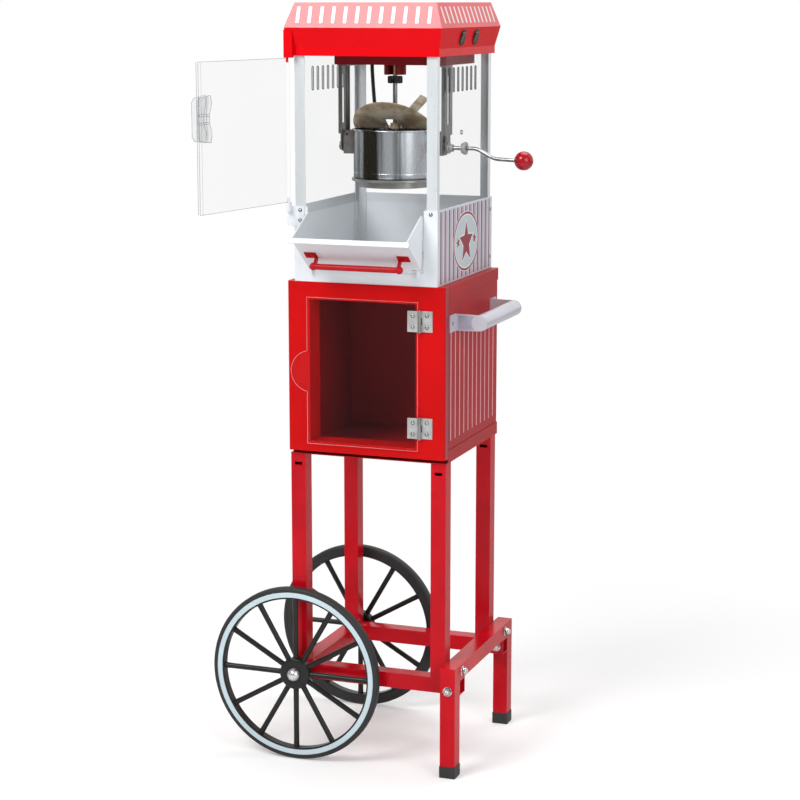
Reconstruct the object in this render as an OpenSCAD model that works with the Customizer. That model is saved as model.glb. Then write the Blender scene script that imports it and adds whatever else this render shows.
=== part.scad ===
// Popcorn cart: a kettle popcorn popper on a cabinet stand with two spoked wheels.
// Millimetres, +Z up, the front faces -Y. Origin on the floor under the cabinet centre.

/* [Lower frame] */
// Outer radius of the spoked wheels
wheel_r = 144.5; // [120:0.5:160]
// Side of the square frame tubes
tube = 25; // [20:0.5:30]
// Wall of the frame tubes
tube_wall = 1.5; // [1:0.1:2.5]
// Distance from the cabinet sides to the leg centres
leg_inset_side = 13; // [13:0.5:30]
// Distance from the cabinet front and back to the leg centres
leg_inset_front = 21; // [18:0.5:40]
// Length of the long legs
leg_len = 350; // [250:1:450]
// Diameter of the frame bolts
bolt_d = 6; // [4:0.5:8]
// Height of the rubber foot caps
foot_cap_h = 19; // [12:1:30]

/* [Wheels] */
// Diameter of the axle rod
axle_d = 10; // [8:0.5:14]
// Width of each tyre
tyre_w = 16; // [12:0.5:22]
// Radial height of the tyre
tyre_h = 17; // [12:0.5:24]
// Radius of the wheel hub
hub_r = 26; // [16:0.5:30]
// Number of spokes
spokes = 12; // [6:1:16]
// Width of each spoke
spoke_w = 9; // [4:0.5:12]
// Length of the spacer between frame and hub
axle_spacer = 10; // [6:0.5:16]

/* [Cabinet] */
// Width of the cabinet
cabinet_w = 264; // [240:1:320]
// Depth of the cabinet
cabinet_d = 272; // [240:1:320]
// Height of the cabinet
cabinet_h = 280; // [240:1:340]
// Depth of the folded front pan
front_depth = 19; // [12:0.5:30]
// Height of the rims of the top and bottom caps
cap_rim = 20; // [12:0.5:30]
// Sheet metal thickness
sheet = 1.2; // [0.8:0.1:1.6]
// Thickness of the clear cabinet door
pane_t = 3; // [2:0.5:4]
// Diameter of the push handle grip
grip_d = 25; // [18:0.5:32]
// Reach of the push handle from the cabinet side to the grip centre
grip_reach = 40; // [24:0.5:50]
// Distance from the folded front to the front bracket of the push handle
grip_front = 4; // [2:0.5:40]
// Distance from the cabinet back to the back bracket of the push handle
grip_back = 13; // [4:0.5:40]
// Depth of the folded returns round the door opening
return_d = 42; // [20:1:60]

/* [Popper case] */
// Set back of the popper case from the cabinet sides
case_inset_side = 13; // [8:0.5:16]
// Set back of the popper case from the cabinet front and back
case_inset_front = 1; // [0:0.5:4]
// Height of the white base
base_h = 118; // [100:1:140]
// Height of the glazed part
glass_h = 233; // [225:1:280]
// Thickness of the case walls and corner posts
wall = 1.5; // [1:0.1:2]
// Width of a corner post seen from the front
post_w = 17; // [14:0.5:19]
// Thickness of the clear side and back windows
window_t = 1.5; // [1:0.1:2]
// Thickness of the swinging clear door
door_t = 4; // [3:0.2:5]
// Angle at which the clear door stands open
door_open = 99; // [60:1:110]

/* [Roof] */
// Height of the straight band under the roof slope
band_h = 12; // [10:0.5:20]
// Height of the inward slope under the eave
slope_h = 31; // [26:0.5:40]
// Height of the striped upper fascia
fascia_h = 38; // [30:0.5:50]
// Overhang of the eave past the case sides
eave_side = 10; // [8:0.5:16]
// Overhang of the eave past the case front and back
eave_front = 12; // [8:0.5:16]
// Set back of the roof top from the case sides
top_side = 3; // [0:0.5:8]
// Set back of the roof top from the case front and back
top_front = 1; // [0:0.5:8]

/* [Chute flap] */
// Distance from the case sides to the chute flap
flap_inset = 24; // [22:0.5:40]
// Length of the chute flap from its hinge
flap_len = 84; // [60:1:86]
// Angle at which the flap stands open from upright
flap_open = 53; // [30:1:60]
// Diameter of the flap handle bar
bar_d = 9.5; // [7:0.5:12]

/* [Kettle] */
// Outer radius of the kettle pot
pot_r = 66.5; // [55:0.5:68]
// Height of the kettle pot
pot_h = 78; // [60:1:80]
// Height of the kettle rim above its tilt axis
rim_rise = 29; // [24:0.5:36]
// Height of the tilt axis above the white base
tilt_rise = 87; // [86:0.5:92]
// Diameter of the stirring rod
rod_d = 7.4; // [6:0.2:8]
// Diameter of the crank rod
crank_d = 6; // [5:0.2:7]
// Radius of the crank ball
ball_r = 15; // [11:0.5:18]
// Angle at which the hinged kettle lid stands raised
lid_open = 40; // [20:1:60]

/* [Drive] */
// Gear module
gear_m = 1; // [1:0.1:1.1]
// Teeth of the stirrer gear
gear_teeth = 40; // [36:4:40]
// Teeth of the motor pinion
pinion_teeth = 10; // [10:1:12]
// Radius of the stirrer motor
motor_r = 25; // [18:0.5:30]

/* [Hidden] */

$fn = 48;
eps = 0.01;        // overshoot of cutting tools
running = 0.06;    // radial clearance of a turning fit
fit = 0.1;         // radial clearance of a fixed fit
gap = 0.3;         // working gap between neighbours

// Heights, from the floor up
axle_z = wheel_r;
rail_top = axle_z + tube / 2;
cross_z = rail_top + tube / 2;
tray_z = rail_top + leg_len;
cabinet_top_z = tray_z + cabinet_h;
base_top = cabinet_top_z + base_h;
deck_z = base_top + glass_h;
slope_z = deck_z + band_h;
eave_z = slope_z + slope_h;
total_h = eave_z + fascia_h;

// Places of the lower frame
leg_x = cabinet_w / 2 - leg_inset_side;
leg_y = cabinet_d / 2 - leg_inset_front;
leg_out = leg_x + tube / 2;
cross_x = leg_out + tube / 2;
rail_end = cross_x + tube / 2;
foot_y = leg_y + tube;
head_r = bolt_d * 0.95;
head_h = bolt_d * 0.6;
nut_r = bolt_d * 1.15;

// Places of the wheels
hub_in = leg_y + tube / 2 + axle_spacer;
hub_out = hub_in + tyre_w;
rim_r = wheel_r - tyre_h;
rim_t = 2;
tyre_mid = (hub_in + hub_out) / 2;
dome_r = axle_d * 1.1;

// Places of the cabinet
front_y = -cabinet_d / 2;
pan_back = front_y + front_depth;
side_x = cabinet_w / 2 - sheet;
front_lift = 7;
front_z = tray_z + front_lift;
open_left = -cabinet_w / 2 + 38;
open_right = cabinet_w / 2 - 48;
open_low = front_z + 17;
open_high = cabinet_top_z - 28;
side_lap = 10;
hinge_x = open_right + 8;
barrel_r = 2.6;
hinge_pin_r = 1.3;
leaf_t = 1.5;
leaf_h = 33;
leaf_w = 17;
pane_gap = 0.6;
pane_lap = 4;
pane_back = front_y - pane_gap;
pane_face = pane_back - pane_t;
hinge_y = pane_face - leaf_t + 0.1;
pane_left = open_left - pane_lap;
pane_right = hinge_x - barrel_r - 0.6;
pane_low = open_low - pane_lap;
pane_high = open_high + pane_lap;
tab_z = (pane_low + pane_high) / 2 - 1;
tab_r = 33.5;
tab_in = 6;
hinge_zs = [pane_low + 37, pane_high - 30];
leaf_screw_x = 11;
leaf_screw_z = 9;
screw_r = 2.4;
screw_h = 1.4;
grip_r = grip_d / 2;
grip_x = cabinet_w / 2 + grip_reach;
grip_z = cabinet_top_z - 60;
bracket_t = 2;
bracket_flange = 26;
grip_low = pan_back + grip_front + bracket_flange + bracket_t;
grip_high = cabinet_d / 2 - grip_back - bracket_flange - bracket_t;
grip_mid = (grip_low + grip_high) / 2;
grip_len = grip_high - grip_low;

// Places of the popper case
case_x = cabinet_w / 2 - case_inset_side;
case_y = cabinet_d / 2 - case_inset_front;
flap_w = 2 * (case_x - flap_inset);
door_w = 2 * case_x + 8;
post_x = case_x - wall;
post_y = case_y - wall;
post_side = 12;
window_x = post_x - wall;
window_low = base_top - 15;
window_top = deck_z - 0.5;
deck_h = 19;
chute_half = flap_w / 2 + 1.5;
chute_z = cabinet_top_z + 21;
slot_count = 8;
slot_pitch = 21.5;
slot_shift = [-17, 11];
slot_w = 6;
slot_len = 38;
slot_top = deck_z - 18;
panel_t = 1;

// Clear door
door_axis = [-case_x - 7, -case_y - 6.5];
door_low = base_top + 6.4;
door_high = deck_z - 3.3;
door_barrel_r = 4;
door_pin_r = 2;
door_pin_len = 8;
latch_h = 70;
latch_low = 113;
latch_in = 30;
latch_out = 5;
latch_mid = (door_low + door_high) / 2 + 28;
rivet_z = base_top + latch_low;

// Chute flap
flap_axis_y = -case_y - 4.2;
flap_axis_z = cabinet_top_z + 25;
flap_t = 2;
flap_barrel_r = 3.5;
flap_pin_r = 1.5;
knuckle_len = 20;
knuckle_x = flap_w / 2 - 16;
ear_t = 4;
bar_off = 18;
bar_r = bar_d / 2;
bar_half = 71;
bar_place = 31;
bar_plate = 14;
ear_in = 8;
ear_h = 8;

// Kettle and its drive
tilt_z = base_top + tilt_rise;
rim_z = tilt_z + rim_rise;
pot_z = rim_z - pot_h;
pot_wall = 1;
pot_floor = 1.5;
rim_w = 3;
hanger_clear = 21.5;
hanger_x = pot_r + hanger_clear;
hanger_t = 2.5;
hanger_half = 18;
tongue_half = 9;
hanger_slot = 11;
pivot_r = 4;
pot_gap = 0.1;
bracket_out = hanger_x - 4;
housing_z = deck_z - 16.2;
housing_x = hanger_x + 6;
housing_front = -25;
housing_back = case_y - 17;
boss_r = 17.6;
boss_z = housing_z - 15.8;
knob_r = 12;
knob_h = 11.5;
knob_low = boss_z - knob_h - 2;
shaft_r = 3.5;
bush_r = 5.5;
rod_r = rod_d / 2;
rod_top = knob_low - gap;
tang_h = 6;
tang_x = 4;
tang_y = 6;
hub_ring_r = rod_r + 4;
lid_t = 1.2;
lid_r = pot_r + 1.5;
lid_axis_y = -2.5;
lid_axis_z = rim_z + 3.6;
lid_pin_r = 1.5;
lid_knuckle_r = 2.4;
lid_ears = [12, pot_r - 8];
lid_ear_t = 2;
lid_slot = 22;
tab_turn = 42;
tab_bend = 5;
tab_len = 38;
tab_half = 7.5;
agitator_r = pot_r - 7;
gear_r = gear_m * gear_teeth / 2;
pinion_r = gear_m * pinion_teeth / 2;
drive_gap = gear_r + pinion_r;
gear_z = housing_z + 4.5;
gear_t = 5;
crank_r = crank_d / 2;
bend_r = crank_r + 0.15;
crank_bend_x = case_x + 18;
crank_end = [crank_bend_x + 74, -10, tilt_z - 16.5];
crank_knee = [crank_bend_x + 33, -8, tilt_z - 15];
crank_bush_r = crank_r + 3;
grommet_r = 10;
lead_r = 3;

// Roof
roof_t = 1.6;
top_x = case_x - top_side;
top_y = case_y - top_front;
eave_x = case_x + eave_side;
eave_y = case_y + eave_front;
band_x = case_x + 3;
band_y = case_y + 3;
switch_tilt = atan((eave_x - band_x) / slope_h);
switch_ys = [-39, 26];
switch_r = 11.5;
rocker_r = 9.5;
rocker_hole_r = 10.2;
rocker_t = 5;
rocker_lean = 8;
gland_r = 4;
gland_z = deck_z + wall + gland_r + gap * 2;

// Axis-aligned box between two corners
module block(low, high) {
    translate(low) cube(high - low);
}

// Hollow square tube along Z, from the origin
module tube_z(length) {
    difference() {
        translate([-tube / 2, -tube / 2, 0]) cube([tube, tube, length]);
        translate([-tube / 2 + tube_wall, -tube / 2 + tube_wall, -1])
            cube([tube - 2 * tube_wall, tube - 2 * tube_wall, length + 2]);
    }
}

module rod_x(from_x, to_x, r) {
    translate([from_x, 0, 0]) rotate([0, 90, 0]) cylinder(r = r, h = to_x - from_x);
}

module rod_y(from_y, to_y, r) {
    translate([0, from_y, 0]) rotate([-90, 0, 0]) cylinder(r = r, h = to_y - from_y);
}

// Rod between two points
module link(a, b, r) {
    d = b - a;
    len = norm(d);
    translate(a) rotate([0, acos(d[2] / len), atan2(d[1], d[0])]) cylinder(r = r, h = len);
}

module both_sides() {
    children();
    mirror([1, 0, 0]) children();
}

// ---- Lower frame ----

module legs() {
    color("firebrick")
    for (x = [-leg_x, leg_x], y = [-leg_y, leg_y])
        translate([x, y, rail_top]) difference() {
            tube_z(leg_len);
            block([-tube / 4, -tube / 2 - 1, leg_len - 19], [tube / 4, 0, leg_len - 14]);
            if (x > 0)
                translate([0, 0, tube / 2]) rod_x(-tube, tube, bolt_d / 2 + fit);
        }
}

module long_rail(y) {
    translate([0, y, axle_z]) difference() {
        translate([-leg_out, 0, 0]) rotate([0, 90, 0]) tube_z(leg_out + rail_end);
        translate([-leg_x, 0, 0]) rod_y(-tube, tube, axle_d / 2 + fit);
        translate([cross_x, 0, 0]) rod_y(-tube, tube, bolt_d / 2 + fit);
    }
}

module rails() {
    color("firebrick") {
        long_rail(-leg_y);
        long_rail(leg_y);
        translate([-leg_x, -leg_y + tube / 2, axle_z])
            rotate([-90, 0, 0]) tube_z(2 * leg_y - tube);
        difference() {
            translate([cross_x, -leg_y - tube / 2, cross_z])
                rotate([-90, 0, 0]) tube_z(2 * leg_y + tube);
            for (y = [-leg_y, leg_y])
                translate([cross_x, y, cross_z]) rod_x(-tube, tube, bolt_d / 2 + fit);
        }
    }
}

foot_floor = 3;

module feet() {
    color("firebrick")
    for (y = [-foot_y, foot_y])
        translate([cross_x, y, foot_floor]) {
            difference() {
                tube_z(rail_top + tube - foot_floor - tube_wall);
                translate([0, 0, axle_z - foot_floor]) rod_y(-tube, tube, bolt_d / 2 + fit);
            }
            translate([-tube / 2, -tube / 2, rail_top + tube - foot_floor - tube_wall])
                cube([tube, tube, tube_wall]);
        }
}

module foot_caps() {
    cap_wall = 0.8;
    outer = tube / 2 + cap_wall;
    inner = tube / 2 + fit;
    color("black")
    for (y = [-foot_y, foot_y])
        translate([cross_x, y, 0]) difference() {
            block([-outer, -outer, 0], [outer, outer, foot_cap_h]);
            block([-inner, -inner, foot_floor], [inner, inner, foot_cap_h + 1]);
        }
}

// Bolt along +X: head behind the origin, dome nut past the grip length
module frame_bolt(grip) {
    rod_x(-head_h, 0, head_r);
    rod_x(-eps, grip + eps, bolt_d / 2);
    rod_x(grip, grip + 1, nut_r * 1.15);
    rod_x(grip + 1, grip + 4, nut_r);
    intersection() {
        translate([grip + 3.5, 0, 0]) sphere(r = nut_r * 0.92);
        rod_x(grip + 3.5, grip + 3 * nut_r, nut_r);
    }
}

module frame_bolts() {
    color("silver") {
        for (y = [-leg_y, leg_y])
            translate([leg_x - tube / 2, y, cross_z]) frame_bolt(2 * tube);
        translate([cross_x, -leg_y + tube / 2, axle_z]) rotate([0, 0, -90]) frame_bolt(2 * tube);
        translate([cross_x, foot_y + tube / 2, axle_z]) rotate([0, 0, -90]) frame_bolt(2 * tube);
    }
}

// ---- Wheels ----

module axle() {
    washer = 1;
    color("silver") translate([-leg_x, 0, axle_z]) {
        rod_y(-hub_out - washer, hub_out + washer, axle_d / 2);
        for (s = [-1, 1]) scale([1, s, 1]) {
            rod_y(leg_y + tube / 2, hub_in - gap, axle_d / 2 + 3);
            rod_y(hub_out + gap, hub_out + gap + washer, dome_r);
            intersection() {
                translate([0, hub_out + gap + washer, 0]) sphere(r = dome_r);
                rod_y(hub_out + gap + washer, hub_out + gap + 2 * dome_r, dome_r);
            }
        }
    }
}

// Moulded hub, spokes and rim, centred on the origin, axis along Y
module spoked_wheel() {
    hub_half = tyre_w / 2;
    difference() {
        union() {
            rod_y(-hub_half, hub_half, hub_r);
            for (i = [0 : spokes - 1])
                rotate([0, 360 / spokes * i, 0])
                    block([hub_r - 4, -spoke_w * 0.55, -spoke_w / 2],
                        [rim_r - rim_t / 2, spoke_w * 0.55, spoke_w / 2]);
            difference() {
                rod_y(-hub_half + 2, hub_half - 2, rim_r - fit / 2);
                rod_y(-tyre_w, tyre_w, rim_r - rim_t);
            }
        }
        rod_y(-tyre_w, tyre_w, axle_d / 2 + running);
    }
}

module tyre_ring() {
    edge = 4;
    half = tyre_w / 2;
    rotate([90, 0, 0]) rotate_extrude($fn = 96) union() {
        translate([rim_r, -half]) square([tyre_h - edge, tyre_w]);
        translate([rim_r, -half + edge]) square([tyre_h, tyre_w - 2 * edge]);
        for (s = [-1, 1])
            translate([wheel_r - edge, s * (half - edge)]) circle(r = edge, $fn = 32);
    }
}

module wheel_front() {
    color("dimgray") translate([-leg_x, -tyre_mid, axle_z]) spoked_wheel();
}

module tyre_front() {
    color("black") translate([-leg_x, -tyre_mid, axle_z]) tyre_ring();
}

module wheel_back() {
    color("dimgray") translate([-leg_x, tyre_mid, axle_z]) spoked_wheel();
}

module tyre_back() {
    color("black") translate([-leg_x, tyre_mid, axle_z]) tyre_ring();
}

// ---- Cabinet ----

module cabinet_tray() {
    color("firebrick") {
        difference() {
            block([-cabinet_w / 2, -leg_y - tube / 2, tray_z],
                [cabinet_w / 2, cabinet_d / 2, tray_z + sheet]);
            for (x = [-leg_x, leg_x], y = [-leg_y, leg_y])
                translate([x, y, tray_z - 1]) cylinder(r = bolt_d / 2, h = sheet + 2);
        }
        for (s = [-1, 1])
            translate([s * (side_x + sheet / 2), 0, 0])
                block([-sheet / 2, pan_back, tray_z], [sheet / 2, cabinet_d / 2, tray_z + cap_rim]);
        block([-cabinet_w / 2, cabinet_d / 2 - sheet, tray_z],
            [cabinet_w / 2, cabinet_d / 2, tray_z + cap_rim]);
    }
}

module cabinet_sides() {
    color("firebrick") both_sides() {
        block([side_x - sheet, pan_back, tray_z + sheet],
            [side_x, cabinet_d / 2 - sheet, cabinet_top_z - sheet]);
        block([side_x - sheet, pan_back - side_lap, front_z + sheet],
            [side_x, pan_back + eps, cabinet_top_z - sheet]);
    }
}

module cabinet_back() {
    color("firebrick")
        block([-side_x + sheet, cabinet_d / 2 - 2 * sheet, tray_z + sheet],
            [side_x - sheet, cabinet_d / 2 - sheet, cabinet_top_z - sheet]);
}

// Front pan: face with rounded corners, folded sides and a folded door opening
module cabinet_front() {
    corner = 5;
    half = cabinet_w / 2;
    color("red") difference() {
        union() {
            block([-half + corner, front_y, front_z], [half - corner, pan_back, cabinet_top_z]);
            block([-half, front_y + corner, front_z], [half, pan_back, cabinet_top_z]);
            for (s = [-1, 1])
                translate([s * (half - corner), front_y + corner, front_z])
                    cylinder(r = corner, h = cabinet_top_z - front_z);
            block([open_left - sheet, front_y + 1, open_low - sheet],
                [open_right + sheet, front_y + return_d, open_high + sheet]);
        }
        difference() {
            block([-half + sheet, front_y + sheet, front_z + sheet],
                [half - sheet, pan_back + 1, cabinet_top_z - sheet]);
            block([open_left - sheet, front_y, open_low - sheet],
                [open_right + sheet, front_y + return_d, open_high + sheet]);
            block([-half, front_y, front_z - 1],
                [-half + corner, front_y + corner, cabinet_top_z]);
            block([half - corner, front_y, front_z - 1],
                [half, front_y + corner, cabinet_top_z]);
        }
        block([open_left, front_y - 1, open_low], [open_right, front_y + return_d + 1, open_high]);
    }
}

module cabinet_top() {
    color("firebrick") {
        block([-cabinet_w / 2, pan_back, cabinet_top_z - sheet],
            [cabinet_w / 2, cabinet_d / 2, cabinet_top_z]);
        for (s = [-1, 1])
            translate([s * (side_x + sheet / 2), 0, 0])
                block([-sheet / 2, pan_back, cabinet_top_z - cap_rim],
                    [sheet / 2, cabinet_d / 2, cabinet_top_z]);
        block([-cabinet_w / 2, cabinet_d / 2 - sheet, cabinet_top_z - cap_rim],
            [cabinet_w / 2, cabinet_d / 2, cabinet_top_z]);
    }
}

// Clear door with a half-round finger tab that laps over the front
module cabinet_door() {
    color("lightblue", 0.4) difference() {
        union() {
            block([pane_left, pane_face, pane_low], [pane_right, pane_back, pane_high]);
            translate([pane_left + tab_in, 0, tab_z]) rod_y(pane_face, pane_back, tab_r);
        }
        for (z = hinge_zs, s = [-1, 1])
            translate([hinge_x - leaf_screw_x, 0, z + s * leaf_screw_z])
                rod_y(pane_face - 1, pane_back + 1, 1.5);
    }
}

module barrel(z0, z1) {
    difference() {
        translate([hinge_x, hinge_y, z0]) cylinder(r = barrel_r, h = z1 - z0);
        translate([hinge_x, hinge_y, z0 - 1]) cylinder(r = hinge_pin_r + running, h = z1 - z0 + 2);
    }
}

module hinge_fixed_leaves() {
    third = leaf_h / 3;
    color("silver") for (z = hinge_zs) {
        block([hinge_x + 3, front_y - leaf_t, z - leaf_h / 2],
            [hinge_x + 3 + leaf_w, front_y, z + leaf_h / 2]);
        for (span = [[z - leaf_h / 2, z - third / 2 - gap], [z + third / 2 + gap, z + leaf_h / 2]]) {
            barrel(span[0], span[1]);
            block([hinge_x + barrel_r - 0.6, hinge_y, span[0]],
                [hinge_x + 3 + eps, front_y, span[1]]);
        }
        translate([hinge_x, hinge_y, z - leaf_h / 2 - 0.6])
            cylinder(r = hinge_pin_r, h = leaf_h + 1.2);
        for (s = [-1, 1])
            translate([hinge_x, hinge_y, z + s * (leaf_h / 2 + 0.6) - 0.6])
                cylinder(r = barrel_r - 0.4, h = 1.2);
    }
}

module hinge_door_leaves() {
    third = leaf_h / 3;
    color("silver") for (z = hinge_zs) {
        block([hinge_x - 3.1 - leaf_w, pane_face - leaf_t, z - leaf_h / 2],
            [hinge_x - 3.1, pane_face, z + leaf_h / 2]);
        barrel(z - third / 2, z + third / 2);
        block([hinge_x - 3.1 - eps, pane_face - leaf_t, z - third / 2],
            [hinge_x - barrel_r + 0.8, pane_face, z + third / 2]);
    }
}

// Raised screw head, facing -Y, with its shank behind it
module screw_y(shank) {
    rod_y(-screw_h, 0, screw_r);
    rod_y(-eps, shank, 1.4);
}

module hinge_door_screws() {
    color("gainsboro") for (z = hinge_zs, s = [-1, 1])
        translate([hinge_x - leaf_screw_x, pane_face - leaf_t, z + s * leaf_screw_z]) {
            rod_y(-screw_h, 0, screw_r);
        }
}

// ---- Push handle ----

module handle_bracket() {
    half_z = grip_r + 1;
    arm = grip_x - cabinet_w / 2;
    translate([cabinet_w / 2, 0, grip_z]) {
        block([-sheet, -bracket_flange, -half_z], [-sheet + bracket_t, bracket_t, half_z]);
        rotate([90, 0, 0]) translate([0, 0, -bracket_t]) linear_extrude(height = bracket_t)
            union() {
                polygon([[-sheet, -half_z], [-sheet, half_z], [arm, grip_r], [arm, -grip_r]]);
                translate([arm, 0]) circle(r = grip_r);
            }
    }
}

module handle_brackets() {
    color("gainsboro") {
        translate([0, grip_mid - grip_len / 2 - bracket_t, 0]) handle_bracket();
        translate([0, grip_mid + grip_len / 2 + bracket_t, 0]) mirror([0, 1, 0]) handle_bracket();
    }
}

module handle_grip() {
    color("gainsboro") translate([grip_x, grip_mid, grip_z]) difference() {
        rod_y(-grip_len / 2, grip_len / 2, grip_r);
        rod_y(-grip_len / 2 - 1, grip_len / 2 + 1, grip_r - 2);
    }
}

// ---- Screws fixed in the stand and the case ----

module case_screws() {
    color("gainsboro") {
        for (z = hinge_zs, s = [-1, 1])
            translate([hinge_x + leaf_screw_x, front_y - leaf_t, z + s * leaf_screw_z])
                rod_y(-screw_h, 0, screw_r);
        for (y = [grip_mid - grip_len / 2 - bracket_flange / 2 - bracket_t,
                grip_mid + grip_len / 2 + bracket_flange / 2 + bracket_t])
            translate([cabinet_w / 2 - sheet + bracket_t, y, grip_z]) rod_x(0, screw_h, screw_r);
        for (x = [-case_x + 11, case_x - 11])
            translate([x, -case_y - (x < 0 ? 2 : 0), base_top - 6]) rod_y(-screw_h, 0, screw_r);
        translate([-case_x + 11, -case_y - 2, base_top - 22]) rod_y(-screw_h, 0, screw_r);
        both_sides() for (z = [cabinet_top_z + 20, base_top - 20])
            translate([case_x + panel_t, case_y - 8, z]) rod_x(0, screw_h, screw_r);
    }
}

// ---- Popper case ----

flap_ears = [-flap_w / 2 + ear_in - ear_t, flap_w / 2 - ear_in];

module base_housing() {
    color("whitesmoke") difference() {
        union() {
            block([-case_x, -case_y, cabinet_top_z], [case_x, case_y, base_top]);
            for (x = flap_ears) {
                block([x, flap_axis_y - flap_barrel_r, chute_z - ear_h],
                    [x + ear_t, -case_y + eps, flap_axis_z]);
                translate([0, flap_axis_y, flap_axis_z]) rod_x(x, x + ear_t, flap_barrel_r);
            }
        }
        block([-case_x + wall, -case_y + wall, cabinet_top_z + wall],
            [case_x - wall, case_y - wall, base_top + 1]);
        block([-chute_half, -case_y - eps, chute_z], [chute_half, -case_y + wall + 1, base_top + 1]);
        translate([0, flap_axis_y, flap_axis_z])
            rod_x(-flap_w, flap_w, flap_pin_r + running);
    }
}

module side_panels() {
    color("mistyrose") both_sides()
        block([case_x, -case_y + 3, cabinet_top_z + 1], [case_x + panel_t, case_y, base_top]);
}

module popcorn_deck() {
    half_x = window_x - window_t - gap;
    top = cabinet_top_z + wall + deck_h;
    color("gainsboro") difference() {
        block([-half_x, -post_y + wall + gap, cabinet_top_z + wall],
            [half_x, post_y - wall - gap, top]);
        block([-half_x + wall, -post_y + 2 * wall + gap, cabinet_top_z],
            [half_x - wall, post_y - 2 * wall - gap, top - wall]);
    }
}

module post() {
    block([post_x - post_w, post_y - wall, cabinet_top_z + wall], [post_x, post_y, deck_z]);
    block([post_x - wall, post_y - post_side, cabinet_top_z + wall], [post_x, post_y, deck_z]);
}

module corner_posts() {
    color("lightgray") both_sides() {
        post();
        mirror([0, 1, 0]) post();
    }
}

module vent_slots(shift) {
    for (i = [0 : slot_count - 1])
        translate([0, (i - (slot_count - 1) / 2) * slot_pitch + shift, 0]) {
            block([-case_x * 2, -slot_w / 2, slot_top - slot_len + slot_w / 2],
                [case_x * 2, slot_w / 2, slot_top - slot_w / 2]);
            for (z = [slot_top - slot_len + slot_w / 2, slot_top - slot_w / 2])
                translate([0, 0, z]) rod_x(-case_x * 2, case_x * 2, slot_w / 2);
        }
}

module side_window(shift) {
    difference() {
        block([window_x - window_t, -post_y + wall, window_low],
            [window_x, post_y - wall - window_t - gap, window_top]);
        vent_slots(shift);
    }
}

module window_left() {
    color("lightblue", 0.3) mirror([1, 0, 0]) side_window(slot_shift[1]);
}

module window_right() {
    color("lightblue", 0.3) difference() {
        side_window(slot_shift[0]);
        translate([0, 0, tilt_z]) rod_x(0, case_x * 2, crank_bush_r + 2);
        translate([0, -10, tilt_z + 26]) rod_x(0, case_x * 2, 2);
    }
}

module window_back() {
    color("lightblue", 0.3)
        block([-window_x, post_y - wall - window_t, window_low],
            [window_x, post_y - wall, window_top]);
}

// ---- Clear swinging door, drawn closed and turned open about its hinge axis ----

module swung() {
    translate([door_axis[0], door_axis[1], 0]) rotate([0, 0, -door_open]) children();
}

module popper_door() {
    color("lightblue", 0.3) swung() difference() {
        union() {
            translate([0, 0, door_low]) cylinder(r = door_barrel_r, h = door_high - door_low);
            block([0, -door_t / 2, door_low], [door_w, door_t / 2, door_high]);
        }
        for (z = [door_low - 1, door_high - door_pin_len])
            translate([0, 0, z]) cylinder(r = door_pin_r + running, h = door_pin_len + 1);
        translate([door_w * 0.48, 0, rivet_z]) rod_y(-door_t, door_t, 2);
    }
}

// Clip-on clear handle with two wings round the free edge of the door
module door_latch() {
    reach = door_w - latch_in;
    outer = door_w + latch_out;
    half = latch_h / 2;
    color("lightcyan", 0.5) swung() translate([0, 0, latch_mid]) difference() {
        rotate([90, 0, 0]) translate([0, 0, -door_t / 2 - 1.5])
            linear_extrude(height = door_t + 3 + 4)
                polygon([[reach, -half], [reach - 3, -half + 12], [reach + 3, -6], [reach + 3, 6],
                    [reach - 3, half - 12], [reach, half], [outer - 6, half - 3],
                    [outer, half - 9], [outer, -half + 9], [outer - 6, -half + 3]]);
        block([reach - 10, -door_t / 2, -half - 1], [door_w, door_t / 2, half + 1]);
    }
}

module door_hinge_upper() {
    x = door_axis[0];
    y = door_axis[1];
    color("firebrick") {
        difference() {
            block([x - 4, y - 5, door_high + gap], [x + 10, -band_y + eps, eave_z - 3]);
            roof_body(-fit / 2);
        }
        translate([x, y, door_high - door_pin_len + 1])
            cylinder(r = door_pin_r, h = door_pin_len);
    }
}

module door_hinge_lower() {
    x = door_axis[0];
    y = door_axis[1];
    color("whitesmoke") {
        block([x - 4, -case_y - 2, base_top - 31], [-case_x + 17, -case_y, base_top]);
        block([x - 4, y - 4, base_top - 8], [x + 4, -case_y - 2 + eps, door_low - gap]);
        translate([x, y, base_top]) cylinder(r = door_pin_r, h = door_low - base_top + door_pin_len - 1);
    }
}

// ---- Chute flap, drawn upright and leaned open about its hinge pin ----

module leaned() {
    translate([0, flap_axis_y, flap_axis_z]) rotate([flap_open, 0, 0]) children();
}

module flap() {
    half = flap_w / 2;
    color("whitesmoke") leaned() {
        difference() {
            union() {
                block([-half, -flap_t / 2, flap_barrel_r + 0.8], [half, flap_t / 2, flap_len]);
                for (s = [-1, 1]) translate([s * (knuckle_x - knuckle_len / 2), 0, 0]) {
                    rod_x(-knuckle_len / 2, knuckle_len / 2, flap_barrel_r);
                    block([-knuckle_len / 2, -flap_t / 2, 0],
                        [knuckle_len / 2, flap_t / 2, flap_barrel_r + 1]);
                }
            }
            rod_x(-flap_w, flap_w, flap_pin_r + running);
        }
        translate([0, 0, flap_len - flap_t])
            block([-half - 3, -8, 0], [half + 3, flap_t / 2, flap_t]);
        both_sides() translate([half - flap_t, 0, 0]) rotate([90, 0, 90])
            linear_extrude(height = flap_t)
                polygon([[-flap_t / 2, flap_barrel_r + 1], [-flap_t / 2, flap_len],
                    [flap_len * sin(flap_open), flap_len * cos(flap_open) + 2],
                    [flap_len * sin(flap_open) + 4, flap_len * cos(flap_open) - 6],
                    [9, flap_barrel_r + 5]]);
    }
}

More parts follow.
